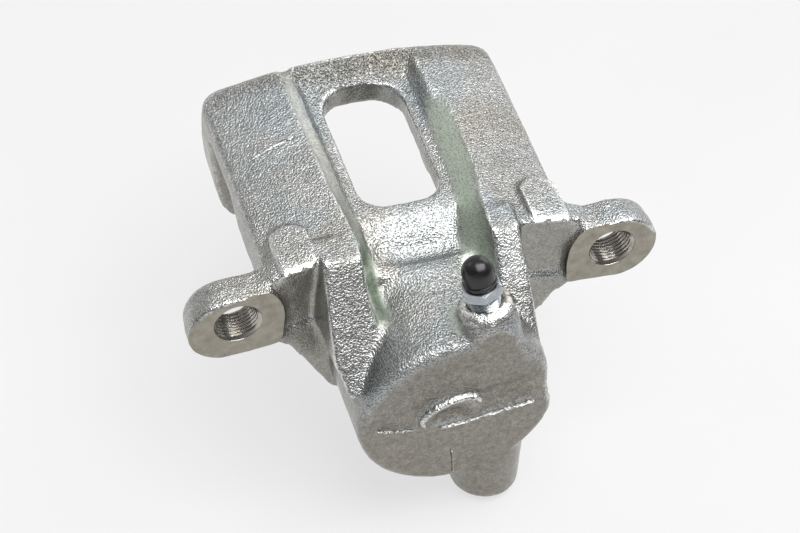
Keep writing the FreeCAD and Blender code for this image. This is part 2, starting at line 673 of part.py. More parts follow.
def dust_boot():
    """Rubber bellows: outer bead in the housing, one fold, lip in the piston's groove."""
    lip_r = PISTON_R - PISTON_GROOVE_DEEP + FIT
    sleeve_r = PISTON_R + BOOT_CLEAR
    lip_y0 = PISTON_GROOVE_Y + 0.1
    lip_y1 = PISTON_GROOVE_Y + PISTON_GROOVE_WIDE - 0.1
    bead_top = RING_GROOVE_Y - RING_WIRE_R
    profile = [
        (lip_r, lip_y0),
        (sleeve_r, lip_y0),
        (sleeve_r, BOOT_SEAT_Y + 1.2),
        (sleeve_r + 0.4, BOOT_SEAT_Y),
        (BOOT_SEAT_R, BOOT_SEAT_Y),
        (BOOT_SEAT_R, bead_top),
        (BOOT_SEAT_R - BOOT_BEAD_WIDE, bead_top),
        (BOOT_SEAT_R - BOOT_BEAD_WIDE, BOOT_SEAT_Y + 1.1),
        (sleeve_r + BOOT_SKIN, BOOT_SEAT_Y + 1.1),
        (sleeve_r + BOOT_SKIN, lip_y1),
        (lip_r, lip_y1),
    ]
    return turned(profile, BORE_AXIS_POINT, Y_AXIS)


def boot_retaining_ring():
    """Round wire ring, open at the bottom, that holds the boot's bead down."""
    ring_r = BOOT_SEAT_R - RING_WIRE_R + RING_PRELOAD
    section = Part.Face(Part.Wire(Part.makeCircle(RING_WIRE_R, V(ring_r, 0, 0), Y_AXIS)))
    ring = section.revolve(V(0, 0, 0), Z_AXIS, 360.0 - RING_GAP_DEG)
    placement = FreeCAD.Placement(V(0, RING_GROOVE_Y, BORE_Z), FreeCAD.Rotation(X_AXIS, -90.0))
    turn = FreeCAD.Placement(V(0, 0, 0), FreeCAD.Rotation(Z_AXIS, 90.0 + 0.5 * RING_GAP_DEG))
    return ring.transformed(placement.multiply(turn).toMatrix())


def hexagon(across_flats, low, high, turn):
    """Upright hexagon with its top corners bevelled."""
    circum = across_flats / math.sqrt(3.0)
    angles = [math.radians(turn + 60.0 * i) for i in range(6)]
    corners = [V(circum * math.cos(a), circum * math.sin(a), low) for a in angles]
    block = polygon(corners).extrude(V(0, 0, high - low))
    long = high - low + 1.0
    bevel = Part.makeCone(circum - 0.5 + 1.6 * long, circum - 0.5, long, V(0, 0, low - 1.0), Z_AXIS)
    return block.common(bevel)


def bleed_screw():
    """Hexagon bleed screw: cone tip, thread, hexagon and hose nipple, drilled through."""
    up = BLEED_UP
    down = -BLEED_UP
    low = BLEED_DEPTH
    tip_r = DRILL_R + 0.2
    minor_r = BLEED_MAJOR_R - THREAD_DEPTH * BLEED_PITCH
    first = BLEED_MOUTH[1] + (0.5 - BLEED_CRESTS_OUT) * BLEED_PITCH
    shank = [(0.0, -HEX_LOW - 0.5), (minor_r, -HEX_LOW - 0.5)]
    shank += thread_side(BLEED_MAJOR_R, BLEED_PITCH, first, BLEED_CRESTS_OUT + BLEED_CRESTS_IN)
    shank += [(minor_r, low - 1.1), (tip_r, low + minor_r - tip_r - 1.1)]
    shank += [(0.0, low + minor_r - tip_r - 1.1)]
    body = turned(shank, BLEED_FACE, down)
    placement = FreeCAD.Placement(BLEED_FACE, FreeCAD.Rotation(Z_AXIS, up))
    head = hexagon(HEX_AF, HEX_LOW, HEX_TOP, HEX_TURN).transformed(placement.toMatrix())
    barb_low, barb_high = NIPPLE_BARB
    nipple = turned([(0.0, HEX_TOP - 0.5), (NIPPLE_WAIST_R, HEX_TOP - 0.5),
                     (NIPPLE_WAIST_R, barb_low - 0.6), (NIPPLE_R, barb_low),
                     (NIPPLE_R, barb_high), (NIPPLE_END_R, NIPPLE_TOP),
                     (0.0, NIPPLE_TOP)], BLEED_FACE, up)
    bore = cylinder(SCREW_BORE_R, BLEED_FACE + down * (low - 3.0), up, low + NIPPLE_TOP)
    cross = cylinder(SCREW_CROSS_R, BLEED_FACE + down * (low - 2.0) - X_AXIS * 6.0, X_AXIS, 12.0)
    return union([body, head, nipple]).cut(bore).cut(cross)


def bleed_screw_cap():
    """Rubber dust cap: domed top, rolled rim, hollow over the nipple."""
    up = BLEED_UP
    inner_r = NIPPLE_R + FIT
    straight = CAP_TOP - CAP_R
    outer = cylinder(CAP_R, BLEED_FACE + up * CAP_BOTTOM, up, straight - CAP_BOTTOM)
    dome = Part.makeSphere(CAP_R, BLEED_FACE + up * straight)
    rim = turned([(CAP_R - 1.0, CAP_BOTTOM), (CAP_RIM_R, CAP_BOTTOM),
                  (CAP_RIM_R, CAP_BOTTOM + CAP_RIM_LONG - 0.4),
                  (CAP_R, CAP_BOTTOM + CAP_RIM_LONG), (CAP_R - 1.0, CAP_BOTTOM + CAP_RIM_LONG)],
                 BLEED_FACE, up)
    hollow = cylinder(inner_r, BLEED_FACE + up * (CAP_BOTTOM - 1.0), up,
                      NIPPLE_TOP + 0.2 - CAP_BOTTOM + 1.0)
    return union([outer, dome, rim]).cut(hollow)


NODES = {
    "caliper_housing": housing,
    "piston": piston,
    "piston_seal": piston_seal,
    "dust_boot": dust_boot,
    "boot_retaining_ring": boot_retaining_ring,
    "bleed_screw": bleed_screw,
    "bleed_screw_cap": bleed_screw_cap,
}

os.makedirs("parts", exist_ok=True)
for node, build in NODES.items():
    shape = build()
    shape.exportStep(os.path.join("parts", node + ".step"))
    box = shape.BoundBox
    print(node, "valid" if shape.isValid() else "INVALID", len(shape.Solids), "solid(s)",
          round(shape.Volume / 1000.0, 2), "cm3",
          [round(v, 1) for v in (box.XMin, box.YMin, box.ZMin, box.XMax, box.YMax, box.ZMax)])
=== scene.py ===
import json
import math
import bmesh
import bpy
import numpy as np
from mathutils import Matrix, Vector, noise

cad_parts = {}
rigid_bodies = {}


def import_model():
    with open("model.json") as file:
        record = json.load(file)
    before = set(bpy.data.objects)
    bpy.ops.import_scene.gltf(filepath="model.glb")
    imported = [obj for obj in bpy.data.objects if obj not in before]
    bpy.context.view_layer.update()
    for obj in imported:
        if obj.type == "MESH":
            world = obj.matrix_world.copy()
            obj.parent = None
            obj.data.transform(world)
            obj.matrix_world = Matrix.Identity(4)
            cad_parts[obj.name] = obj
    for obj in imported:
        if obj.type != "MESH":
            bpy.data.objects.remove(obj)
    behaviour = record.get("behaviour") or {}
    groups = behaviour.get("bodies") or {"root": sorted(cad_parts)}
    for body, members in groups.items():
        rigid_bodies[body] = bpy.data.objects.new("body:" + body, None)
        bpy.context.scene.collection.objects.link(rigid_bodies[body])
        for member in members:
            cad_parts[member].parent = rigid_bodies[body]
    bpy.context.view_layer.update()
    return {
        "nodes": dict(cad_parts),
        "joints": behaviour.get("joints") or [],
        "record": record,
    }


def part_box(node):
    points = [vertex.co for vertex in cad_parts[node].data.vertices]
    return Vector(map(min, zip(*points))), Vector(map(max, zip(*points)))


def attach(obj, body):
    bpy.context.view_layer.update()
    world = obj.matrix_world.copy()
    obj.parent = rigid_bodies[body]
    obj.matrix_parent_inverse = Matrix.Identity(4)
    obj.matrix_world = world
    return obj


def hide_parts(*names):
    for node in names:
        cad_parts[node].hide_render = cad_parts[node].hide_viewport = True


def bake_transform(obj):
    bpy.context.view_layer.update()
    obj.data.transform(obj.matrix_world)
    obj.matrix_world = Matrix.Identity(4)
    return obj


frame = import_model()

# Shapes are worked out in millimetres in the row's frame and turned into metres when a mesh is made.
MM = 0.001
JOINTS = {joint["name"]: joint for joint in frame["joints"]}
MOUNTS = {mount["name"]: mount for mount in frame["record"]["mounts"]}


def millimetres(point):
    return Vector(point) / MM


def box_mm(node):
    low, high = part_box(node)
    return millimetres(low), millimetres(high)


# ---- what the frame says ---------------------------------------------------------
PISTON_LOW, PISTON_HIGH = box_mm("piston")
HOUSING_LOW, HOUSING_HIGH = box_mm("caliper_housing")
SEAL_LOW, SEAL_HIGH = box_mm("piston_seal")
BOOT_LOW, BOOT_HIGH = box_mm("dust_boot")
BORE = Vector((0.0, 0.0, 0.5 * (PISTON_LOW.z + PISTON_HIGH.z)))
FIT = 0.05
PISTON_R = 0.5 * (PISTON_HIGH.x - PISTON_LOW.x)
BORE_R = PISTON_R + FIT
SEAL_R = 0.5 * (SEAL_HIGH.x - SEAL_LOW.x)
BOOT_R = 0.5 * (BOOT_HIGH.x - BOOT_LOW.x)
PIN_X = millimetres(MOUNTS["right_pin_thread"]["pos_m"]).x
PORT = millimetres(MOUNTS["hose_port"]["pos_m"])
PORT_DEPTH = MOUNTS["hose_port"]["dims"]["length_mm"]
FINGER_FACE_Y = MOUNTS["finger_face"]["pos_m"][1] / MM
BLEED_FACE = millimetres(JOINTS["bleed_screw_turn"]["pos_m"])
BLEED_UP = Vector(JOINTS["bleed_screw_turn"]["axis"]).normalized()
X_AXIS = Vector((1, 0, 0))
Y_AXIS = Vector((0, 1, 0))
Z_AXIS = Vector((0, 0, 1))

# ---- sizes that belong to the looks ----------------------------------------------
VOXEL = 0.9                 # of the casting's skin
MOUTH_Y = 20.0
BORE_FLOOR_Y = -23.0
RING_GROOVE_Y = 18.2
RING_WIRE_R = 0.9
BOOT_SEAT_Y = BOOT_LOW.y
LUG_THICK = 10.8
THREAD_DEPTH = 0.5413       # thread height over pitch
PIN_MAJOR_R = 7.0
PIN_PITCH = 1.25
PORT_MAJOR_R = 5.0
BLEED_MAJOR_R = 5.0
FINE_PITCH = 1.0
END_FACE_Y = -30.0
SMOOTH_ROUNDS = 4
GROOVE_ROUNDS = 160
EDGE_ROUNDS = 12            # rounds that tell a convex edge from a flat
VALLEY_ROUNDS = 40
CROWN_Z = 17.5              # arc of the rails' top
CROWN_R = 165.0
MOON_LINE = [(-9.6, -27.5), (-10.2, -24.5), (-8.8, -21.8), (-6.0, -19.6), (-2.0, -17.9), (2.5, -17.2), (6.0, -18.0),
             (7.8, -20.5)]
PARTING_LINE = [(-5.0, -29.4), (1.0, -29.2), (7.0, -28.4), (15.0, -27.3), (25.5, -25.8)]    # (x, z)
LEFT_PARTING = [(-24.0, -26.0), (-17.0, -28.0), (-10.5, -28.6)]
SEAM_LINE = [(0.1, -41.0), (0.9, -46.0), (1.5, -53.0)]
RAIL_LINE = [(-41.8, 51.2), (-34.0, 53.2), (-25.6, 54.9)]                                   # (x, y)


# ---- mesh helpers ----------------------------------------------------------------
def mesh_object(name, verts, faces):
    """A linked mesh object from points in millimetres."""
    mesh = bpy.data.meshes.new(name)
    mesh.from_pydata([tuple(Vector(v) * MM) for v in verts], [], faces)
    mesh.validate()
    obj = bpy.data.objects.new(name, mesh)
    bpy.context.scene.collection.objects.link(obj)
    bm = bmesh.new()
    bm.from_mesh(mesh)
    bmesh.ops.recalc_face_normals(bm, faces=bm.faces)
    bm.to_mesh(mesh)
    bm.free()
    return obj


def rounded(corners, steps=4):
    """Closed outline of (radius, height, fillet) corners, each turned into an arc."""
    points = []
    for i, (x, y, fillet) in enumerate(corners):
        here = Vector((x, y))
        if fillet <= 0.0:
            points.append((x, y))
            continue
        back = Vector(corners[i - 1][:2]) - here
        ahead = Vector(corners[(i + 1) % len(corners)][:2]) - here
        half = 0.5 * back.angle(ahead)
        run = min(fillet / math.tan(half), 0.49 * back.length, 0.49 * ahead.length)
        radius = run * math.tan(half)
        centre = here + (back.normalized() + ahead.normalized()).normalized() * radius / math.sin(half)
        start = here + back.normalized() * run - centre
        end = here + ahead.normalized() * run - centre
        sweep = math.atan2(start.cross(end), start.dot(end))
        for k in range(steps + 1):
            turned = Matrix.Rotation(sweep * k / steps, 2) @ start + centre
            points.append((turned.x, turned.y))
    return points


def axis_frame(origin, axis):
    """Matrix that takes +Z to the axis and the origin to its place."""
    turn = Z_AXIS.rotation_difference(axis).to_matrix().to_4x4()
    return Matrix.Translation(origin) @ turn


def lathe(name, outline, origin, axis, around=128):
    """Turned piece from a closed (radius, height) outline; points on the axis become poles."""
    place = axis_frame(origin, axis)
    verts = []
    rings = []
    for r, h in outline:
        if r < 1e-6:
            rings.append([len(verts)] * around)
            verts.append(place @ Vector((0, 0, h)))
            continue
        rings.append(list(range(len(verts), len(verts) + around)))
        for k in range(around):
            a = 2 * math.pi * k / around
            verts.append(place @ Vector((r * math.cos(a), r * math.sin(a), h)))
    faces = []
    for i, ring in enumerate(rings):
        after = rings[(i + 1) % len(rings)]
        if ring[0] == ring[1] and after[0] == after[1]:
            continue
        for k in range(around):
            n = (k + 1) % around
            corners = [ring[k], ring[n], after[n], after[k]]
            faces.append([c for j, c in enumerate(corners) if c != corners[j - 1]])
    return mesh_object(name, verts, faces)


def screw(name, radius_at, low, high, step, origin, axis, around=72):
    """Closed stem whose radius depends on height and angle, as a thread's does."""
    place = axis_frame(origin, axis)
    rows = int(round((high - low) / step))
    verts = []
    for i in range(rows + 1):
        h = low + (high - low) * i / rows
        for k in range(around):
            a = 2 * math.pi * k / around
            r = radius_at(h, a)
            verts.append(place @ Vector((r * math.cos(a), r * math.sin(a), h)))
    faces = []
    for i in range(rows):
        for k in range(around):
            n = (k + 1) % around
            faces.append((i * around + k, i * around + n, (i + 1) * around + n, (i + 1) * around + k))
    faces.append(list(range(around))[::-1])
    faces.append([rows * around + k for k in range(around)])
    return mesh_object(name, verts, faces)


def thread_radius(major_r, pitch, height, angle, hand=1):
    """Radius of a 60 degree helical thread with flattened crests and roots."""
    depth = THREAD_DEPTH * pitch
    phase = (height / pitch - hand * angle / (2 * math.pi)) % 1.0
    rise = abs(phase - 0.5) * 2.0
    return major_r - depth * min(1.0, max(0.0, (0.94 - rise) / 0.75)) if rise > 0.19 else major_r - depth


def prism(name, points, origin, u, v, depth):
    """Outline of (u, v) points pushed along a depth vector."""
    n = len(points)
    near = [origin + u * a + v * b for a, b in points]
    far = [p + depth for p in near]
    faces = [list(range(n))[::-1], list(range(n, 2 * n))]
    for k in range(n):
        faces.append((k, (k + 1) % n, n + (k + 1) % n, n + k))
    return mesh_object(name, near + far, faces)


def block(name, low, high):
    return prism(name, [(0, 0), (1, 0), (1, 1), (0, 1)], Vector(low),
                 Vector((high[0] - low[0], 0, 0)), Vector((0, high[1] - low[1], 0)),
                 Vector((0, 0, high[2] - low[2])))


def applied(obj):
    """Turns an object's modifiers into its mesh."""
    depsgraph = bpy.context.evaluated_depsgraph_get()
    mesh = bpy.data.meshes.new_from_object(obj.evaluated_get(depsgraph))
    obj.modifiers.clear()
    obj.data = mesh
    return obj


def combine(obj, others, operation):
    """Boolean of one object with several, which are used up."""
    for other in others:
        modifier = obj.modifiers.new("cut", "BOOLEAN")
        modifier.operation = operation
        modifier.solver = "MANIFOLD"
        modifier.object = other
        applied(obj)
        bpy.data.objects.remove(other)
    return obj


def joined(obj, others):
    """Plain join of meshes, overlaps and all."""
    bm = bmesh.new()
    bm.from_mesh(obj.data)
    for other in others:
        bm.from_mesh(other.data)
        bpy.data.objects.remove(other)
    bm.to_mesh(obj.data)
    bm.free()
    return obj


# ---- the casting -----------------------------------------------------------------
LUG_R = 12.1
LUG_REACH = {1: (1.7, -0.2), -1: (2.6, -1.6)}       # outward shift and height of each lug's round end
LUG_FACE_X = 44.8
# inner boundary of the machined faces, from the top down, as (x, z)
LUG_INNER = [(49.8, 10.6), (47.3, 8.2), (45.7, 5.0), (44.9, 1.0), (44.8, -3.5), (45.2, -7.5), (46.4, -11.2)]


def lug_outline(side, grow):
    """Outline of a lug's machined face as (x, z) points, grown by an amount."""
    reach, middle = LUG_REACH[side]
    points = []
    for angle in range(-84, 91, 6):
        a = math.radians(angle)
        points.append(Vector((PIN_X + reach + LUG_R * math.cos(a), middle + LUG_R * math.sin(a))))
    points += [Vector(point) for point in LUG_INNER]
    centre = Vector((PIN_X, middle))
    points = [point + (point - centre).normalized() * grow for point in points]
    points = [(side * point.x, point.y) for point in points]
    return points if side > 0 else points[::-1]


def spot_face(side):
    """Outline of the milling cut over a lug, which leaves a rim standing at the top."""
    inside = lug_outline(side, -0.7)
    outside = lug_outline(side, 2.5)
    points = []
    for near, far in zip(inside, outside):
        share = min(1.0, max(0.0, near[1] / 5.0)) if abs(near[0]) > 50.5 else 0.0
        points.append(Vector(far).lerp(Vector(near), share))
    return points


def lug_stock(side):
    """Raw metal in front of a machined face; little of it is left proud along the upper rim."""
    stock = prism("stock", lug_outline(side, 0.5), Vector((0, 0, 0)), X_AXIS, Z_AXIS, Vector((0, 5.0, 0)))
    for vert in stock.data.vertices:
        if vert.co.y < 0.001:
            share = min(1.0, max(0.0, (vert.co.z / MM - 1.0) / 4.0))
            vert.co.y = (-2.2 + 1.2 * share) * MM
    return stock


def casting_plugs():
    """Fills every machined hole, so that the raw casting has them solid."""
    plugs = [lathe("plug", [(0, -23.5), (27.3, -23.5), (27.3, MOUTH_Y + 1.2), (0, MOUTH_Y + 1.2)], BORE, Y_AXIS, 96)]
    for side in (-1, 1):
        plugs.append(lathe("plug", [(0, -0.0), (8.2, 0.0), (8.2, LUG_THICK), (0, LUG_THICK)],
                           Vector((side * PIN_X, 0, 0)), Y_AXIS, 64))
    plugs.append(lathe("plug", [(0, -14.0), (5.7, -14.0), (5.7, -0.2), (0, -0.2)], BLEED_FACE, BLEED_UP, 64))
    plugs.append(lathe("plug", [(0, -1.2), (5.8, -1.2), (5.8, 20.0), (1.9, 24.0), (1.9, 42.0), (0, 42.0)],
                       Vector((PORT.x, PORT.y, HOUSING_LOW.z)), Z_AXIS, 64))
    start = BLEED_FACE - BLEED_UP * 13.0
    into_bore = Vector((8.0, BORE_FLOOR_Y + 3.0, BORE.z + 14.0))
    path = into_bore - start
    plugs.append(lathe("plug", [(0, -2), (1.9, -2), (1.9, path.length), (0, path.length)],
                       start, path.normalized(), 24))
    return plugs


def remeshed(obj):
    modifier = obj.modifiers.new("skin", "REMESH")
    modifier.mode = "VOXEL"
    modifier.voxel_size = VOXEL * MM
    modifier.adaptivity = 0.0
    applied(obj)
    bm = bmesh.new()
    bm.from_mesh(obj.data)
    keep_largest(bm)
    bm.to_mesh(obj.data)
    bm.free()
    return obj


def keep_largest(bm):
    """Deletes every separate shell but the largest."""
    left = set(bm.verts)
    shells = []
    while left:
        seed = left.pop()
        shell = {seed}
        queue = [seed]
        while queue:
            for edge in queue.pop().link_edges:
                for vert in edge.verts:
                    if vert not in shell:
                        shell.add(vert)
                        queue.append(vert)
        left -= shell
        shells.append(shell)
    shells.sort(key=len, reverse=True)
    for shell in shells[1:]:
        bmesh.ops.delete(bm, geom=list(shell), context="VERTS")


def mesh_arrays(mesh):
    points = np.zeros(len(mesh.vertices) * 3)
    mesh.vertices.foreach_get("co", points)
    normals = np.zeros(len(mesh.vertices) * 3)
    mesh.vertices.foreach_get("normal", normals)
    edges = np.zeros(len(mesh.edges) * 2, int)
    mesh.edges.foreach_get("vertices", edges)
    return points.reshape(-1, 3) / MM, normals.reshape(-1, 3), edges.reshape(-1, 2)


def relax(points, edges, rounds, share=0.5):
    """Laplacian smoothing, which rounds the edges as a casting's are."""
    count = len(points)
    a = np.concatenate([edges[:, 0], edges[:, 1]])
    b = np.concatenate([edges[:, 1], edges[:, 0]])
    degree = np.maximum(np.bincount(a, minlength=count), 1)[:, None]
    for _ in range(rounds):
        total = np.stack([np.bincount(a, weights=points[b, i], minlength=count) for i in range(points.shape[1])], 1)
        points = points + share * (total / degree - points)
    return points


def put_points(mesh, points):
    mesh.vertices.foreach_set("co", (points * MM).ravel())
    mesh.update()


def casting_skin():
    node = frame["nodes"]["caliper_housing"]
    skin = bpy.data.objects.new("housing_casting", node.data.copy())
    bpy.context.scene.collection.objects.link(skin)
    bm = bmesh.new()
    bm.from_mesh(skin.data)
    bmesh.ops.remove_doubles(bm, verts=bm.verts, dist=2e-6)
    bm.to_mesh(skin.data)
    bm.free()
    stock = []
    for side in (-1, 1):
        stock.append(lug_stock(side))
    joined(skin, casting_plugs() + stock)
    remeshed(skin)
    points, normals, edges = mesh_arrays(skin.data)
    points = relax(points, edges, SMOOTH_ROUNDS)
    points = relax(points, edges, VALLEY_ROUNDS, 0.5 * valley_share(points, normals)[:, None])
    points = relax(points, edges, GROOVE_ROUNDS, 0.5 * groove_share(points)[:, None])
    points = valley_ramp(points)
    put_points(skin.data, points)
    points, normals, edges = mesh_arrays(skin.data)
    lift = rail_pads(points, normals) - valley_hollows(points, normals) + flank_knobs(points, normals)
    put_points(skin.data, points + normals * (lift + unevenness(points))[:, None])
    combine(skin, cast_marks(), "UNION")
    return skin


def ramp_between(value, low, high):
    t = np.clip((value - low) / (high - low), 0.0, 1.0)
    return t * t * (3 - 2 * t)


def unevenness(points):
    """Slow waviness and coarse roughness of a sand-cast skin."""
    return np.array([0.20 * noise.noise(Vector(p) * 0.07) + 0.10 * noise.noise(Vector(p) * 0.23 + X_AXIS * 7)
                     + 0.09 * noise.noise(Vector(p) * 0.55 + Y_AXIS * 9) for p in points])


# edges of the smooth grooves: (y, right inner, right outer, left inner, left outer)
GROOVE_EDGES = np.array([
    (-10.0, 12.0, 19.2, 15.0, 18.6), (0.0, 11.6, 19.2, 15.0, 18.8), (8.0, 12.5, 19.4, 15.4, 19.0),
    (16.0, 14.2, 20.2, 17.0, 19.9), (30.0, 16.2, 22.8, 18.0, 21.4), (50.0, 17.0, 23.6, 18.6, 22.0),
    (62.0, 18.0, 23.0, 19.4, 22.4), (90.0, 18.0, 22.0, 19.4, 22.4),
])


def groove_share(points):
    """How far each point lies in one of the two smooth grooves beside the valley's middle band."""
    x, y, z = points.T
    at = [np.interp(y, GROOVE_EDGES[:, 0], GROOVE_EDGES[:, k]) for k in range(5)]
    right = ramp_between(x, at[1] - 0.5, at[1] + 0.7) * (1 - ramp_between(x, at[2] - 0.5, at[2] + 0.5))
    left = ramp_between(-x, at[3] - 0.5, at[3] + 0.7) * (1 - ramp_between(-x, at[4] - 0.5, at[4] + 0.5))
    right *= 1 - ramp_between(y, 52.0, 66.0)
    left *= ramp_between(y, -13.0, -9.0)
    right *= ramp_between(y, -9.0, -4.0)
    return (right + left) * (z > np.where(y > 14.0, 8.0, -4.0))


def valley_share(points, normals):
    """How far each point lies on the shelf's front edge, which runs smoothly down into the valley."""
    x, y, z = points.T
    across = 1 - ramp_between(np.abs(x), 17.0, 19.0)
    along = ramp_between(y, -9.0, -5.0) * (1 - ramp_between(y, 9.0, 12.0))
    return across * along * (z < 9.0) * (normals[:, 2] > 0.2)


def valley_ramp(points):
    """Takes the step in front of the window to one even slope."""
    x, y, z = points.T
    target = np.interp(y, [4.0, 8.5, 11.5, 19.5, 22.0], [5.1, 5.1, 5.9, 11.0, 11.4])
    share = (1 - ramp_between(np.abs(x), 11.0, 15.5)) * ramp_between(y, 4.0, 7.0) * (1 - ramp_between(y, 20.0, 23.0))
    share = share * (z > 4.0) * (z < 13.0)
    return np.stack([x, y, z + share * (target - z)], 1)


def valley_hollows(points, normals):
    """Grooves, and the shallow transverse hollow in front of the window."""
    x, y, z = points.T
    hollow = np.exp(-(((x - 1.0) / 9.0) ** 4 + ((y - 8.3) / 3.3) ** 2))
    roll = np.exp(-(((x + 1.0) / 10.5) ** 4 + ((y - 1.0) / 2.6) ** 2))
    dimple = np.exp(-(((x + 0.5) / 2.6) ** 2 + ((y + 6.3) / 1.0) ** 2))
    facing = (normals[:, 2] > 0.5) & (z > 0)
    return (0.15 * groove_share(points) + 1.25 * hollow - 0.6 * roll + 0.5 * dimple) * facing


def rail_pads(points, normals):
    """Lifts the half-round pads on the rails a little, with a clear edge."""
    x, y, z = points.T
    end_y = 15.5 + np.sqrt(np.maximum(36.0 - (np.abs(x) - 39.0) ** 2, 0.0))
    inside = ramp_between(6.2 - np.abs(np.abs(x) - 39.0), 0.0, 0.9) * ramp_between(end_y - y, 0.0, 0.9)
    return 0.9 * inside * (normals[:, 2] > 0.6) * (z > 9)


def flank_knobs(points, normals):
    """Lumps on the closed end's right flank, where the sand mould was rough."""
    near = np.exp(-(((points[:, 0] - 30.0) / 4.0) ** 2 + ((points[:, 1] + 24.5) / 5.0) ** 2
                    + ((points[:, 2] + 21.0) / 8.0) ** 2))
    lumps = np.array([0.35 - abs(noise.noise(Vector(p) * 0.3)) * 2.0 if share > 0.02 else 0.0
                      for p, share in zip(points, near)])
    return 1.5 * near * lumps


STEEP_LINE = [(-1.0, -1.2), (-0.95, 0.1), (-0.8, 0.72), (-0.4, 1.0), (0.3, 1.0), (0.75, 0.6), (0.95, 0.0), (1.0, -1.2)]
LOW_LINE = [(-1.0, -1.4), (-0.98, -0.2), (-0.6, 0.4), (-0.25, 0.9), (0.05, 1.0), (0.4, 0.75), (0.95, -0.2), (1.0, -1.4)]


def cast_line(name, path, out, width, height, profile, ragged=0.22):
    """Ragged raised line along a path of points, standing out of the surface they lie on."""
    steps = []
    for a, b in zip(path, path[1:]):
        count = max(2, int((b - a).length / 0.45))
        steps += [a.lerp(b, k / count) for k in range(count)]
    steps.append(path[-1])
    verts = []
    last = len(steps) - 1
    for i, here in enumerate(steps):
        ahead = (steps[min(i + 1, last)] - steps[max(i - 1, 0)]).normalized()
        side = ahead.cross(out).normalized()
        taper = min(1.0, 0.25 + 0.5 * min(i, last - i))
        for across, rise in profile:
            point = here + side * across * 0.5 * width * taper + out * rise * height * (taper if rise > 0 else 1.0)
            shake = noise.noise_vector(point * 0.9) * ragged + noise.noise_vector(point * 2.3) * ragged * 0.4
            verts.append(point + shake)
    n = len(profile)
    faces = [list(range(n)), [last * n + k for k in range(n)][::-1]]
    for i in range(last):
        for k in range(n):
            m = (k + 1) % n
            faces.append((i * n + k, (i + 1) * n + k, (i + 1) * n + m, i * n + m))
    return mesh_object(name, verts, faces)


def rail_z(x):
    """Height of the rails' arc-shaped top."""
    return CROWN_Z - CROWN_R + math.sqrt(CROWN_R ** 2 - x ** 2)


def bleed_rim():
    """Rough raised ring round the bleed screw's hole."""
    verts = []
    place = axis_frame(BLEED_FACE, BLEED_UP)
    around = 96
    section = [(5.2, -1.2), (5.3, 0.4), (5.9, 0.65), (6.6, 0.45), (7.6, -0.15), (8.4, -0.9), (8.9, -2.4)]
    for k in range(around):
        a = 2 * math.pi * k / around
        for r, h in section:
            point = place @ Vector((r * math.cos(a), r * math.sin(a), h))
            verts.append(point + noise.noise_vector(point * 0.8) * 0.28 + noise.noise_vector(point * 2.0) * 0.16)
    n = len(section)
    faces = []
    for k in range(around):
        m = (k + 1) % around
        for i in range(n):
            j = (i + 1) % n
            faces.append((k * n + i, k * n + j, m * n + j, m * n + i))
    return mesh_object("mark", verts, faces)


def cast_marks():
    """Half-moon rim and parting lines on the closed end, the line on the left rail, the bleed boss's rim."""
    marks = [bleed_rim()]
    out = -Y_AXIS
    moon = [Vector((x, END_FACE_Y, z)) for x, z in MOON_LINE]
    marks.append(cast_line("mark", moon, out, 2.7, 2.0, STEEP_LINE))
    parting = [Vector((x, END_FACE_Y, z)) for x, z in PARTING_LINE]
    marks.append(cast_line("mark", parting, out, 1.4, 1.3, STEEP_LINE))
    marks.append(cast_line("mark", [Vector((x, END_FACE_Y, z)) for x, z in SEAM_LINE], out, 0.9, 0.7,
                           STEEP_LINE))
    marks.append(cast_line("mark", [Vector((x, END_FACE_Y, z)) for x, z in LEFT_PARTING], out, 0.9, 0.6,
                           STEEP_LINE))
    rail = [Vector((x, y, rail_z(x) - 0.15)) for x, y in RAIL_LINE]
    marks.append(cast_line("mark", rail, Z_AXIS, 2.2, 0.95, LOW_LINE, 0.15))
    return marks


def pin_cutter(side):
    """Threaded guide-pin hole with a countersink at each face."""
    minor_r = PIN_MAJOR_R - THREAD_DEPTH * PIN_PITCH

    def radius_at(h, angle):
        sink = PIN_MAJOR_R + 0.45 - 1.2 * max(h, 0.0)
        exit_sink = PIN_MAJOR_R + 0.3 - (LUG_THICK - h)
        return max(thread_radius(PIN_MAJOR_R, PIN_PITCH, h, angle), sink, exit_sink, minor_r)

    return screw("cutter", radius_at, -2.0, LUG_THICK + 2.0, PIN_PITCH / 8, Vector((side * PIN_X, 0, 0)), Y_AXIS)


def port_cutter():
    minor_r = PORT_MAJOR_R - THREAD_DEPTH * FINE_PITCH

    def radius_at(h, angle):
        sink = PORT_MAJOR_R + 0.5 - max(h, 0.0)
        if h > PORT_DEPTH:
            return max(minor_r - 1.8 * (h - PORT_DEPTH), 1.4)
        return max(thread_radius(PORT_MAJOR_R, FINE_PITCH, h, angle), sink, minor_r)

    return screw("cutter", radius_at, -2.0, PORT_DEPTH + 3.0, FINE_PITCH / 6,
                 Vector((PORT.x, PORT.y, HOUSING_LOW.z)), Z_AXIS, 60)


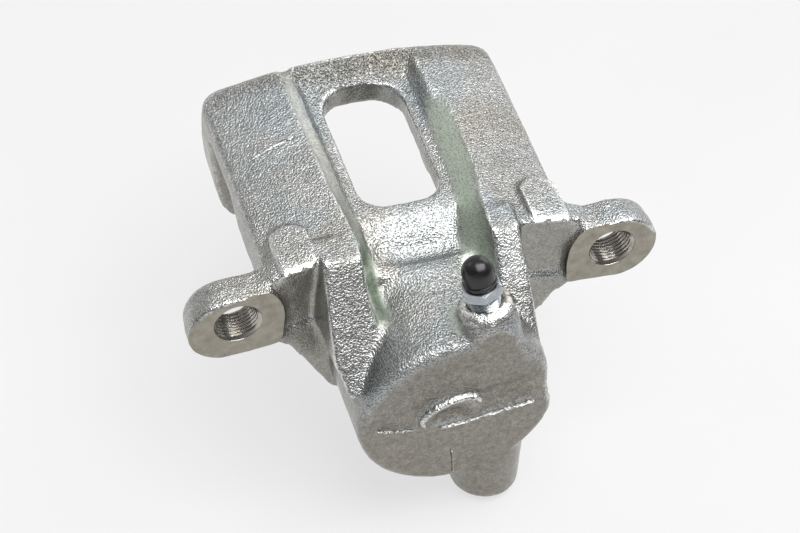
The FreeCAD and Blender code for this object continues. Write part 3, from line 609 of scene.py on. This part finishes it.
def bore_cutter():
    seat_r = BOOT_R
    groove_r = seat_r + 0.4
    outline = [
        (0, BORE_FLOOR_Y, 0), (BORE_R, BORE_FLOOR_Y, 1.0), (BORE_R, SEAL_LOW.y, 0.15),
        (SEAL_R, SEAL_LOW.y, 0.2), (SEAL_R, SEAL_HIGH.y, 0.2), (BORE_R, SEAL_HIGH.y, 0.15),
        (BORE_R, BOOT_SEAT_Y, 0.2), (seat_r, BOOT_SEAT_Y, 0.2),
        (seat_r, RING_GROOVE_Y - RING_WIRE_R, 0), (groove_r, RING_GROOVE_Y - 0.45, 0),
        (groove_r, RING_GROOVE_Y + 0.45, 0), (seat_r, RING_GROOVE_Y + RING_WIRE_R, 0),
        (seat_r, MOUTH_Y - 0.6, 0.1), (seat_r + 0.8, MOUTH_Y + 0.2, 0), (seat_r + 0.8, MOUTH_Y + 4.0, 0),
        (0, MOUTH_Y + 4.0, 0),
    ]
    return lathe("cutter", rounded(outline), BORE, Y_AXIS, 144)


def bleed_cutter():
    mouth_r = 5.4
    outline = [(0, -12.0), (BLEED_MAJOR_R + FIT, -12.0), (BLEED_MAJOR_R + FIT, -1.0), (mouth_r, -1.0),
               (mouth_r, 6.0), (0, 6.0)]
    return lathe("cutter", outline, BLEED_FACE, BLEED_UP, 72)


def machine(skin):
    """Cuts the machined faces and holes into the casting."""
    cutters = [bore_cutter(), pin_cutter(-1), pin_cutter(1), port_cutter(), bleed_cutter()]
    for side in (-1, 1):
        cutters.append(prism("cutter", spot_face(side), Vector((0, -6.0, 0)), X_AXIS, Z_AXIS, Vector((0, 6.0, 0))))
    cutters.append(block("cutter", (-30, MOUTH_Y, -62), (30, MOUTH_Y + 6, 2)))
    cutters.append(block("cutter", (0, -40, HOUSING_LOW.z - 4), (32, 0, HOUSING_LOW.z)))
    combine(skin, cutters, "DIFFERENCE")
    return skin


# ---- node materials --------------------------------------------------------------
class Shade:
    """Short way to build one node material."""

    def __init__(self, name):
        self.material = bpy.data.materials.new(name)
        self.material.use_nodes = True
        self.tree = self.material.node_tree
        self.shader = self.tree.nodes["Principled BSDF"]
        self.place = self.node("ShaderNodeTexCoord").outputs["Object"]

    def node(self, kind, **settings):
        made = self.tree.nodes.new(kind)
        for key, value in settings.items():
            setattr(made, key, value)
        return made

    def link(self, source, socket):
        if isinstance(source, bpy.types.NodeSocket):
            self.tree.links.new(source, socket)
        else:
            socket.default_value = source

    def set(self, **values):
        for key, value in values.items():
            self.link(value, self.shader.inputs[key.replace("_", " ")])

    def noise(self, scale, detail=2.0, roughness=0.5, place=None):
        made = self.node("ShaderNodeTexNoise")
        self.link(place or self.place, made.inputs["Vector"])
        made.inputs["Scale"].default_value = scale
        made.inputs["Detail"].default_value = detail
        made.inputs["Roughness"].default_value = roughness
        return made.outputs["Fac"]

    def shifted(self, by, scale=(1, 1, 1)):
        made = self.node("ShaderNodeMapping")
        self.link(self.place, made.inputs["Vector"])
        made.inputs["Location"].default_value = by
        made.inputs["Scale"].default_value = scale
        return made.outputs["Vector"]

    def wobbled(self, scale, amount):
        """Coordinates pushed about by a little noise, so that cells aren't regular."""
        wobble = self.node("ShaderNodeTexNoise")
        self.link(self.place, wobble.inputs["Vector"])
        wobble.inputs["Scale"].default_value = scale
        shift = self.node("ShaderNodeVectorMath", operation="MULTIPLY_ADD")
        self.link(wobble.outputs["Color"], shift.inputs[0])
        shift.inputs[1].default_value = (amount, amount, amount)
        self.link(self.place, shift.inputs[2])
        return shift.outputs[0]

    def cells(self, scale, smooth=0.6, place=None):
        made = self.node("ShaderNodeTexVoronoi", feature="SMOOTH_F1")
        self.link(place or self.place, made.inputs["Vector"])
        made.inputs["Scale"].default_value = scale
        made.inputs["Smoothness"].default_value = smooth
        return made.outputs["Distance"]

    def ramp(self, source, stops):
        made = self.node("ShaderNodeValToRGB")
        self.link(source, made.inputs["Fac"])
        elements = made.color_ramp.elements
        while len(elements) < len(stops):
            elements.new(0.5)
        for element, (position, value) in zip(elements, stops):
            element.position = position
            element.color = (*value, 1) if isinstance(value, tuple) else (value, value, value, 1)
        return made.outputs["Color"]

    def math(self, operation, a, b=0.0):
        made = self.node("ShaderNodeMath", operation=operation)
        self.link(a, made.inputs[0])
        self.link(b, made.inputs[1])
        return made.outputs[0]

    def mix(self, share, a, b, blend="MIX"):
        made = self.node("ShaderNodeMix", data_type="RGBA", blend_type=blend)
        self.link(share, made.inputs["Factor"])
        for name, value in (("A", a), ("B", b)):
            socket = [s for s in made.inputs if s.name == name and s.type == "RGBA"][0]
            self.link((*value, 1) if isinstance(value, tuple) else value, socket)
        return [s for s in made.outputs if s.type == "RGBA"][0]

    def attribute(self, name):
        return self.node("ShaderNodeAttribute", attribute_name=name).outputs["Fac"]

    def bump(self, height, distance, strength=1.0, under=None):
        made = self.node("ShaderNodeBump")
        self.link(height, made.inputs["Height"])
        self.link(strength, made.inputs["Strength"])
        made.inputs["Distance"].default_value = distance
        if under is not None:
            self.link(under, made.inputs["Normal"])
        return made.outputs["Normal"]


def cast_zinc():
    """Zinc-plated sand casting: pebbled grain, uneven greyish plating with faint tints, painted shade on sideways faces
    and painted highlights on up-facing edges, the bleed rim and the right rib.
    """
    s = Shade("zinc_plated_sand_casting")
    grain = s.attribute("grain")
    side = s.attribute("side")
    green = s.attribute("green")
    smooth = s.attribute("smooth")
    pebbles = s.cells(1750, 0.3, s.wobbled(1200, 0.0006))
    fine = s.noise(3600, 3, 0.6)
    coarse = s.noise(700, 2, 0.5)
    height = s.math("ADD", s.math("MULTIPLY", pebbles, 0.9), s.math("MULTIPLY", fine, 0.45))
    patches = s.ramp(s.noise(45, 3), [(0.35, 0.0), (0.65, 1.0)])
    tone = s.mix(patches, (0.33, 0.335, 0.325), (0.395, 0.40, 0.39))
    blue = s.ramp(s.noise(30, 2, place=s.shifted((3, 1, 2))), [(0.5, 0.0), (0.68, 0.7)])
    tone = s.mix(blue, tone, (0.305, 0.345, 0.37))
    brown = s.ramp(s.noise(35, 2, place=s.shifted((5, 8, 4))), [(0.55, 0.0), (0.75, 0.6)])
    tone = s.mix(brown, tone, (0.35, 0.315, 0.265))
    # painted shade: faces turned sideways or downwards get a darker warm tone, by the side attribute
    tone = s.mix(side, tone, (0.235, 0.22, 0.19))
    tone = s.mix(smooth, tone, (0.45, 0.45, 0.42))
    tone = s.mix(green, tone, (0.40, 0.46, 0.38))
    # painted shade: sideways faces in the smooth grooves and the shaded lower left groove get a dark green tone
    tone = s.mix(s.math("MULTIPLY", side, smooth), tone, (0.19, 0.225, 0.18))
    # painted highlights: up-facing convex edges, the bleed boss's rim and a patch on the right rib get a light tone, by
    # the bright attribute; on the edges this is partly wear
    tone = s.mix(s.attribute("bright"), tone, (0.68, 0.685, 0.67))
    shade = s.math("SUBTRACT", 0.62, s.math("MULTIPLY", side, 0.3))
    tone = s.mix(shade, tone, s.ramp(height, [(0.3, 0.25), (0.72, 1.4)]), "MULTIPLY")
    mottle = s.ramp(s.noise(620, 3, 0.7), [(0.32, 0.55), (0.68, 1.35)])
    tone = s.mix(s.math("MULTIPLY", side, 0.55), tone, mottle, "MULTIPLY")
    rough = s.ramp(s.noise(700, 2), [(0.3, 0.16), (0.7, 0.26)])
    rough = s.mix(smooth, rough, (0.5, 0.5, 0.5))
    rough = s.mix(s.math("MULTIPLY", side, smooth), rough, (0.8, 0.8, 0.8))
    first = s.bump(coarse, 0.00022, s.math("MULTIPLY", grain, 0.7))
    normal = s.bump(height, 0.00017, grain, first)
    s.set(Base_Color=tone, Metallic=1.0, Roughness=rough, Normal=normal)
    return s.material


def machined_steel():
    """Satin machined faces of the casting, thinly plated."""
    s = Shade("machined_zinc_plated")
    tone = s.ramp(s.noise(260, 4, 0.6), [(0.3, (0.24, 0.224, 0.187)), (0.7, (0.375, 0.352, 0.294))])
    rough = s.ramp(s.noise(900, 2), [(0.3, 0.26), (0.7, 0.36)])
    pits = s.ramp(s.noise(420, 1, place=s.shifted((1, 2, 3))), [(0.74, 1.0), (0.78, 0.25)])
    tone = s.mix(1.0, tone, pits, "MULTIPLY")
    normal = s.bump(s.noise(800, 3), 0.00004, 0.5)
    s.set(Base_Color=tone, Metallic=1.0, Roughness=rough, Normal=normal)
    return s.material


def cut_thread():
    """Bright flanks of the tapped holes."""
    s = Shade("cut_thread_steel")
    tone = s.ramp(s.noise(500, 3), [(0.3, (0.40, 0.38, 0.345)), (0.7, (0.52, 0.50, 0.46))])
    normal = s.bump(s.noise(1500, 2), 0.00003, 0.4)
    s.set(Base_Color=tone, Metallic=1.0, Roughness=s.ramp(s.noise(800), [(0.3, 0.16), (0.7, 0.28)]), Normal=normal)
    return s.material


def bright_zinc():
    """Bluish bright zinc plate of the bleed screw."""
    s = Shade("bright_zinc_plate")
    tone = s.ramp(s.noise(300, 3), [(0.3, (0.34, 0.375, 0.41)), (0.7, (0.47, 0.50, 0.52))])
    normal = s.bump(s.noise(1800, 3), 0.00003, 0.5)
    s.set(Base_Color=tone, Metallic=1.0, Roughness=s.ramp(s.noise(600), [(0.3, 0.18), (0.7, 0.30)]), Normal=normal)
    return s.material


def chrome():
    """Ground and chromed skin of the piston, with faint grinding rings."""
    s = Shade("chromed_piston")
    rings = s.noise(90, 4, 0.7, s.shifted((0, 0, 0), (0.4, 30, 0.4)))
    tone = s.ramp(rings, [(0.3, (0.55, 0.56, 0.57)), (0.7, (0.68, 0.68, 0.68))])
    normal = s.bump(rings, 0.00002, 0.6)
    s.set(Base_Color=tone, Metallic=1.0, Roughness=s.ramp(s.noise(200), [(0.3, 0.10), (0.7, 0.20)]), Normal=normal)
    return s.material


def rubber(name, dark, light, low, high, grain):
    """Black rubber: faint dusty mottling and a fine moulded grain."""
    s = Shade(name)
    tone = s.ramp(s.noise(220, 3), [(0.35, (dark, dark, dark)), (0.75, (light, light, light * 0.97))])
    rough = s.ramp(s.noise(500, 3), [(0.3, low), (0.7, high)])
    s.set(Base_Color=tone, Roughness=rough, Normal=s.bump(s.noise(2500, 2), grain, 0.6))
    return s.material


def spring_steel():
    s = Shade("spring_wire")
    tone = s.ramp(s.noise(400, 3), [(0.3, (0.33, 0.32, 0.31)), (0.7, (0.50, 0.49, 0.47))])
    s.set(Base_Color=tone, Metallic=1.0, Roughness=s.ramp(s.noise(600), [(0.3, 0.25), (0.7, 0.4)]),
          Normal=s.bump(s.noise(1500, 2), 0.00003, 0.5))
    return s.material


def pale_floor():
    s = Shade("pale_floor")
    tone = s.ramp(s.noise(6, 3), [(0.3, 0.14), (0.7, 0.16)])
    s.set(Base_Color=tone, Roughness=0.8, Emission_Color=(1, 1, 1, 1), Emission_Strength=FLOOR_GLOW)
    return s.material


# ---- the casting's finish --------------------------------------------------------
def face_arrays(mesh):
    count = len(mesh.polygons)
    centres = np.zeros(count * 3)
    mesh.polygons.foreach_get("center", centres)
    facing = np.zeros(count * 3)
    mesh.polygons.foreach_get("normal", facing)
    return centres.reshape(-1, 3) / MM, facing.reshape(-1, 3)


def off_axis(points, origin, axis):
    """Distance of each point from an axis, and how far along the axis it lies."""
    axis = np.array(axis)
    along = (points - np.array(origin)) @ axis
    away = np.linalg.norm(points - np.array(origin) - along[:, None] * axis, axis=1)
    return away, along


def finish_casting(obj):
    """Sorts machined faces from cast ones, and stores how grainy and tinted each point is, with painted shade on
    sideways faces and painted highlights on up-facing edges.
    """
    mesh = obj.data
    mesh.materials.clear()
    for material in (cast_zinc(), machined_steel(), cut_thread()):
        mesh.materials.append(material)
    centres, facing = face_arrays(mesh)
    x, y, z = centres.T
    thread = (np.hypot(np.abs(x) - PIN_X, z) < PIN_MAJOR_R + 0.5) & (y < LUG_THICK + 0.4) & (y > -0.4)
    thread |= off_axis(centres, PORT, Z_AXIS)[0] < PORT_MAJOR_R + 0.6
    lug_face = (np.abs(y) < 0.01) & (facing[:, 1] < -0.99) & (np.abs(x) > LUG_FACE_X - 1.5)
    away, along = off_axis(centres, BORE, Y_AXIS)
    bore = (away < BOOT_R + 0.9) & (along > BORE_FLOOR_Y - 0.1) & (along < MOUTH_Y + 0.5)
    mouth = (np.abs(y - MOUTH_Y) < 0.01) & (facing[:, 1] > 0.99)
    fingers = (np.abs(y - FINGER_FACE_Y) < 0.01) & (facing[:, 1] < -0.99)
    port_face = np.abs(z - HOUSING_LOW.z) < 0.01
    away, along = off_axis(centres, BLEED_FACE, BLEED_UP)
    bleed = (away < BLEED_MAJOR_R + 0.45) & (along > -13) & (along < 1.5)
    kind = np.where(lug_face | bore | mouth | port_face | bleed | fingers, 1, 0)
    kind = np.where(thread & ~port_face & ~lug_face, 2, kind)
    mesh.polygons.foreach_set("material_index", kind.astype(np.int32))
    mesh.polygons.foreach_set("use_smooth", np.ones(len(kind), bool))
    mesh.set_sharp_from_angle(angle=math.radians(48))
    points, normals, edges = mesh_arrays(mesh)
    nx, ny, nz = normals.T
    stand = np.einsum("ij,ij->i", points - relax(points, edges, EDGE_ROUNDS), normals)
    # up-facing convex edges: edge wear, which smooths the grain, and painted highlight, which lightens the tone
    edge_wear_and_highlight = ramp_between(stand, 0.17, 0.45) * ramp_between(nz, -0.3, 0.2)
    # side marks faces turned sideways or downwards, which get painted shade in the material
    side = 1.0 - ramp_between(nz, -0.1, 0.45)
    away, along = off_axis(points, BLEED_FACE, BLEED_UP)
    end = ramp_between(-points[:, 1], 24.0, 28.0)
    boss_fillet = np.exp(-((away - 9.5) / 1.6) ** 2) * (along < -1.0) * (along > -9.0)
    boss_fillet *= (points[:, 0] < BLEED_FACE.x - 3.0) * (1 - end)
    smooth = np.maximum(groove_share(points), 0.7 * boss_fillet)
    green = smooth * np.where(points[:, 0] > 0, 0.85, 0.08 + 0.67 * (1 - ramp_between(points[:, 1], 10.0, 26.0)))
    smooth, green = relax(np.stack([smooth, green], 1), edges, 7).T
    smooth = smooth * np.where((points[:, 0] < 0) & (points[:, 1] > 10.0), 0.75, 1.0)
    # painted highlight on the bleed boss's raised rim
    rim = ramp_between(away, 5.0, 5.6) * (1 - ramp_between(away, 7.4, 8.6)) * (along > -1.4) * (along < 2.0)
    # painted highlight patch on the right rib's top, which also gets more grain
    rib_highlight_patch = np.exp(-((points[:, 0] - 25.5) / 5.0) ** 4 - ((points[:, 1] + 3.0) / 6.0) ** 4) * (nz > 0.3)
    bright = np.maximum(np.maximum(0.85 * edge_wear_and_highlight * (1 - smooth), rim), 0.6 * rib_highlight_patch)
    shaded = (points[:, 0] < 0) * (1 - ramp_between(points[:, 1], 8.0, 16.0)) * groove_share(points)
    upper = ramp_between(points[:, 2], -31.0, -26.0)
    calm = side * (0.55 * (1 - end) + end * (0.15 + 0.55 * (1 - upper)))
    # painted shade: sideways faces away from the closed end get less of it, and the shaded lower left groove gets it
    # too
    side = np.maximum(side * (0.7 + 0.3 * end), shaded)
    grain = (1.0 - calm) * (1.0 - 0.9 * smooth) * (1.0 - 0.45 * edge_wear_and_highlight) * (1.0 + 0.35 * end * upper + 0.5 * rib_highlight_patch)
    far = ramp_between(points[:, 1], 73.0, 80.0) * (1 - ramp_between(points[:, 1], 83.0, 84.5)) * (nz > 0.3)
    grain *= 1.0 + 0.3 * ramp_between(nz, 0.6, 0.75) + 0.55 * ramp_between(nz, 0.85, 0.97) + 1.5 * far
    # painted shade: the far slope gets part of the side attribute's darker tone
    side = np.maximum(side, 0.30 * far)
    for name, values in (("grain", grain), ("side", side), ("green", green), ("smooth", smooth), ("bright", bright)):
        layer = mesh.attributes.new(name, "FLOAT", "POINT")
        layer.data.foreach_set("value", values.astype(np.float32))


# ---- loose pieces ----------------------------------------------------------------
def dressed(obj, material, body, node, sharp=35):
    """Gives a finished piece its material and body, and hides the CAD node it replaces."""
    mesh = obj.data
    mesh.materials.clear()
    mesh.materials.append(material)
    mesh.polygons.foreach_set("use_smooth", np.ones(len(mesh.polygons), bool))
    mesh.set_sharp_from_angle(angle=math.radians(sharp))
    if body:
        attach(obj, body)
    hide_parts(node)
    return obj


def make_piston():
    inner_r = PISTON_R - 4.9
    groove = PISTON_HIGH.y - 3.6
    front = PISTON_HIGH.y
    back = PISTON_LOW.y
    outline = [
        (0, back, 0), (PISTON_R - 0.0, back, 1.4), (PISTON_R, groove, 0.12), (PISTON_R - 1.0, groove, 0.3),
        (PISTON_R - 1.0, groove + 2.0, 0.3), (PISTON_R - 0.3, groove + 2.0, 0.15),
        (PISTON_R - 0.3, front, 0.6), (inner_r, front, 0.5), (inner_r, back + 6.0, 3.0), (0, back + 6.0, 0),
    ]
    return lathe("piston_cup", rounded(outline, 5), BORE, Y_AXIS, 160)


def make_seal():
    inner_r = PISTON_R + 0.03
    low, high = SEAL_LOW.y, SEAL_HIGH.y
    outline = [(inner_r, low, 0.12), (SEAL_R, low, 0.12), (SEAL_R, high, 0.12), (inner_r, high, 0.4)]
    return lathe("piston_seal_ring", rounded(outline), BORE, Y_AXIS, 144)


def make_boot():
    """Boot at rest: bead under the wire ring, one fold, and a lip in the piston's groove."""
    lip_r = PISTON_R - 0.95
    sleeve_r = PISTON_R + 0.45
    outer_r = sleeve_r + 0.95
    low, high = BOOT_LOW.y, BOOT_HIGH.y
    bead_top = RING_GROOVE_Y - RING_WIRE_R
    outline = [
        (lip_r, high - 1.75, 0.25), (sleeve_r, high - 1.75, 0.2), (sleeve_r + 0.25, high - 3.2, 0.4),
        (sleeve_r, low + 1.2, 0.4), (sleeve_r + 0.4, low, 0.4), (BOOT_R, low, 0.3), (BOOT_R, bead_top, 0.5),
        (BOOT_R - 2.2, bead_top, 0.5), (BOOT_R - 2.2, low + 1.1, 0.5), (outer_r, low + 1.1, 0.4),
        (outer_r + 0.25, high - 3.2, 0.6), (outer_r, high, 0.55), (lip_r, high, 0.4),
    ]
    return lathe("dust_boot_bellows", rounded(outline, 5), BORE, Y_AXIS, 144)


def make_ring():
    """Round wire ring with a gap at the bottom and slightly rounded wire ends."""
    ring_r = BOOT_R - RING_WIRE_R + 0.25
    gap = math.radians(6.5)
    steps = 150
    around = 14
    verts = []
    for i in range(steps + 1):
        a = gap + (2 * math.pi - 2 * gap) * i / steps - 0.5 * math.pi
        out = Vector((math.cos(a), 0, math.sin(a)))
        centre = Vector((0, RING_GROOVE_Y, BORE.z)) + out * ring_r
        wire_r = RING_WIRE_R * (0.75 if i in (0, steps) else 1.0)
        for k in range(around):
            b = 2 * math.pi * k / around
            verts.append(centre + (out * math.cos(b) + Y_AXIS * math.sin(b)) * wire_r)
    faces = [list(range(around)), [steps * around + k for k in range(around)]]
    for i in range(steps):
        for k in range(around):
            n = (k + 1) % around
            faces.append((i * around + k, i * around + n, (i + 1) * around + n, (i + 1) * around + k))
    return mesh_object("boot_wire_ring", verts, faces)


HEX_AF = 11.0
HEX_TURN = 24.0
HEX_LOW = 3.8
HEX_TOP = 7.2
NIPPLE_TOP = 14.4


def make_bleed_screw():
    """Helical thread, hexagon with bevelled corners, barbed nipple, drilled through."""
    minor_r = BLEED_MAJOR_R - THREAD_DEPTH * FINE_PITCH

    def radius_at(h, angle):
        if h < -9.7:
            return max(minor_r + (h + 9.7) * 1.1, 1.6)
        if h > HEX_LOW - 0.6:
            return minor_r
        return max(minor_r, thread_radius(BLEED_MAJOR_R, FINE_PITCH, h, angle) - max(0.0, h - HEX_LOW + 1.1))

    body = screw("bleed_screw_turned", radius_at, -12.2, HEX_LOW + 0.6, FINE_PITCH / 10, BLEED_FACE, BLEED_UP, 72)
    place = axis_frame(BLEED_FACE, BLEED_UP)
    circum = HEX_AF / math.sqrt(3.0)
    corners = [(circum * math.cos(math.radians(HEX_TURN + 60 * k)), circum * math.sin(math.radians(HEX_TURN + 60 * k)))
               for k in range(6)]
    turn = place.to_3x3()
    nut = prism("nut", corners, place @ Vector((0, 0, HEX_LOW)), turn @ X_AXIS, turn @ Y_AXIS,
                BLEED_UP * (HEX_TOP - HEX_LOW))
    flat = 0.5 * HEX_AF
    round_top = lathe("bevel", [(0, HEX_LOW), (flat + 0.1, HEX_LOW), (circum + 0.05, HEX_LOW + 0.45),
                                (circum + 0.05, HEX_TOP - 0.55), (flat - 0.25, HEX_TOP), (0, HEX_TOP)],
                      BLEED_FACE, BLEED_UP, 96)
    combine(nut, [round_top], "INTERSECT")
    nipple = lathe("nipple", rounded([(0, HEX_TOP - 1, 0), (2.6, HEX_TOP - 1, 0), (2.6, 10.2, 0.5), (3.1, 11.0, 0.2),
                                      (3.1, 11.8, 0.4), (2.2, NIPPLE_TOP, 0.3), (0, NIPPLE_TOP, 0)]),
                   BLEED_FACE, BLEED_UP, 64)
    combine(body, [nut, nipple], "UNION")
    drill = lathe("drill", [(0, -8.0), (0.9, -8.0), (0.9, NIPPLE_TOP + 1), (0, NIPPLE_TOP + 1)], BLEED_FACE,
                  BLEED_UP, 24)
    combine(body, [drill], "DIFFERENCE")
    return body


def make_cap():
    """Rubber cap: dome, thin groove and rolled rim, hollow over the nipple."""
    dome_r = 4.9
    dome_z = 16.7 - dome_r
    outline = [(dome_r * math.sin(math.radians(a)), dome_z + dome_r * math.cos(math.radians(a)), 0)
               for a in range(0, 91, 6)]
    outline += [
        (dome_r, 9.25, 0.1), (dome_r - 0.2, 9.1, 0.08), (dome_r - 0.2, 8.95, 0.08), (5.15, 8.8, 0.2),
        (5.15, 7.3, 0.6), (3.15, 7.3, 0.3), (3.15, NIPPLE_TOP + 0.2, 0.4), (0, NIPPLE_TOP + 0.2, 0),
    ]
    return lathe("bleed_screw_rubber_cap", rounded(outline, 7), BLEED_FACE, BLEED_UP, 96)


# ---- camera, light, floor --------------------------------------------------------
CAMERA_AT = Vector((-0.2229, -0.5610, 0.6696))
CAMERA_AIM = Vector((-0.0069, 0.0065, 0.0033))
CAMERA_ROLL = 4.38
LENS = 136.4
FLOOR_GLOW = 0.68
FLOOR_HALF = 4.0
# (name, place, aim, width, depth, radiance)
SOFTBOXES = [
    ("overhead", (0.35, -0.34, 1.25), (0.35, -0.34, 0.0), 1.4, 1.07, 5.8),
    ("right_back", (1.55, 1.40, 0.97), (0, 0, 0), 1.5, 1.3, 1.5),
    ("left_back", (-1.5, 1.6, 1.3), (0, 0, 0), 0.9, 0.9, 1.0),
]
# direction of the brightest wall, and radiance against the cosine from it, which runs from 0 (-1) to 1 (+1)
WALL_SIDE = (0.25, 0.80, 0.55)
WALLS = [(0.0, 0.52), (0.16, 0.46), (0.30, 0.13), (0.5, 0.13), (0.68, 0.36), (0.88, 0.52), (1.0, 0.57)]


def make_camera():
    camera = bpy.data.objects.new("camera", bpy.data.cameras.new("camera"))
    bpy.context.scene.collection.objects.link(camera)
    camera.data.lens = LENS
    camera.data.sensor_width = 36.0
    look = (CAMERA_AIM - CAMERA_AT).to_track_quat("-Z", "Y").to_matrix().to_4x4()
    camera.matrix_world = Matrix.Translation(CAMERA_AT) @ look @ Matrix.Rotation(math.radians(CAMERA_ROLL), 4, "Z")
    bpy.context.scene.camera = camera


def softbox(name, at, aim, wide, deep, radiance):
    """Rectangular area light; its power follows from its radiance."""
    light = bpy.data.lights.new(name, "AREA")
    light.shape = "RECTANGLE"
    light.size = wide
    light.size_y = deep
    light.energy = radiance * math.pi * wide * deep
    obj = bpy.data.objects.new(name, light)
    bpy.context.scene.collection.objects.link(obj)
    look = (Vector(aim) - Vector(at)).to_track_quat("-Z", "Y").to_matrix().to_4x4()
    obj.matrix_world = Matrix.Translation(Vector(at)) @ look


def make_studio():
    floor_z = HOUSING_LOW.z * MM - 0.002
    half = FLOOR_HALF / MM
    floor = block("floor", (-half, -half, floor_z / MM - 10), (half, half, floor_z / MM))
    floor.data.materials.append(pale_floor())
    for settings in SOFTBOXES:
        softbox(*settings)
    world = bpy.data.worlds.new("studio")
    bpy.context.scene.world = world
    world.use_nodes = True
    tree = world.node_tree
    direction = tree.nodes.new("ShaderNodeTexCoord")
    cosine = tree.nodes.new("ShaderNodeVectorMath")
    cosine.operation = "DOT_PRODUCT"
    cosine.inputs[1].default_value = Vector(WALL_SIDE).normalized()
    share = tree.nodes.new("ShaderNodeMath")
    share.operation = "MULTIPLY_ADD"
    share.inputs[1].default_value = 0.5
    share.inputs[2].default_value = 0.5
    walls = tree.nodes.new("ShaderNodeValToRGB")
    while len(walls.color_ramp.elements) < len(WALLS):
        walls.color_ramp.elements.new(0.5)
    for element, (position, value) in zip(walls.color_ramp.elements, WALLS):
        element.position = position
        element.color = (value, value, value, 1)
    tree.links.new(direction.outputs["Generated"], cosine.inputs[0])
    tree.links.new(cosine.outputs["Value"], share.inputs[0])
    tree.links.new(share.outputs[0], walls.inputs["Fac"])
    tree.links.new(walls.outputs["Color"], tree.nodes["Background"].inputs["Color"])
    bpy.context.scene.view_settings.view_transform = "Standard"


# ---- build -----------------------------------------------------------------------
make_camera()
make_studio()

casting = machine(casting_skin())
finish_casting(casting)
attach(casting, "housing")
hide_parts("caliper_housing")

dressed(make_piston(), chrome(), "piston", "piston")
dressed(make_seal(), rubber("seal_rubber", 0.012, 0.03, 0.35, 0.5, 0.00002), "housing", "piston_seal")
dressed(make_ring(), spring_steel(), "housing", "boot_retaining_ring")
dressed(make_bleed_screw(), bright_zinc(), "bleed_screw", "bleed_screw")
dressed(make_cap(), rubber("cap_rubber", 0.006, 0.014, 0.16, 0.30, 0.00003), "bleed_cap", "bleed_screw_cap",
        60)
boot = dressed(make_boot(), rubber("boot_rubber", 0.015, 0.035, 0.45, 0.6, 0.00004), None, "dust_boot",
               60)
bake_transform(boot)

for obj in bpy.context.scene.objects:
    if obj.type == "MESH" and not obj.hide_render:
        print("triangles", obj.name, sum(len(p.vertices) - 2 for p in obj.data.polygons))
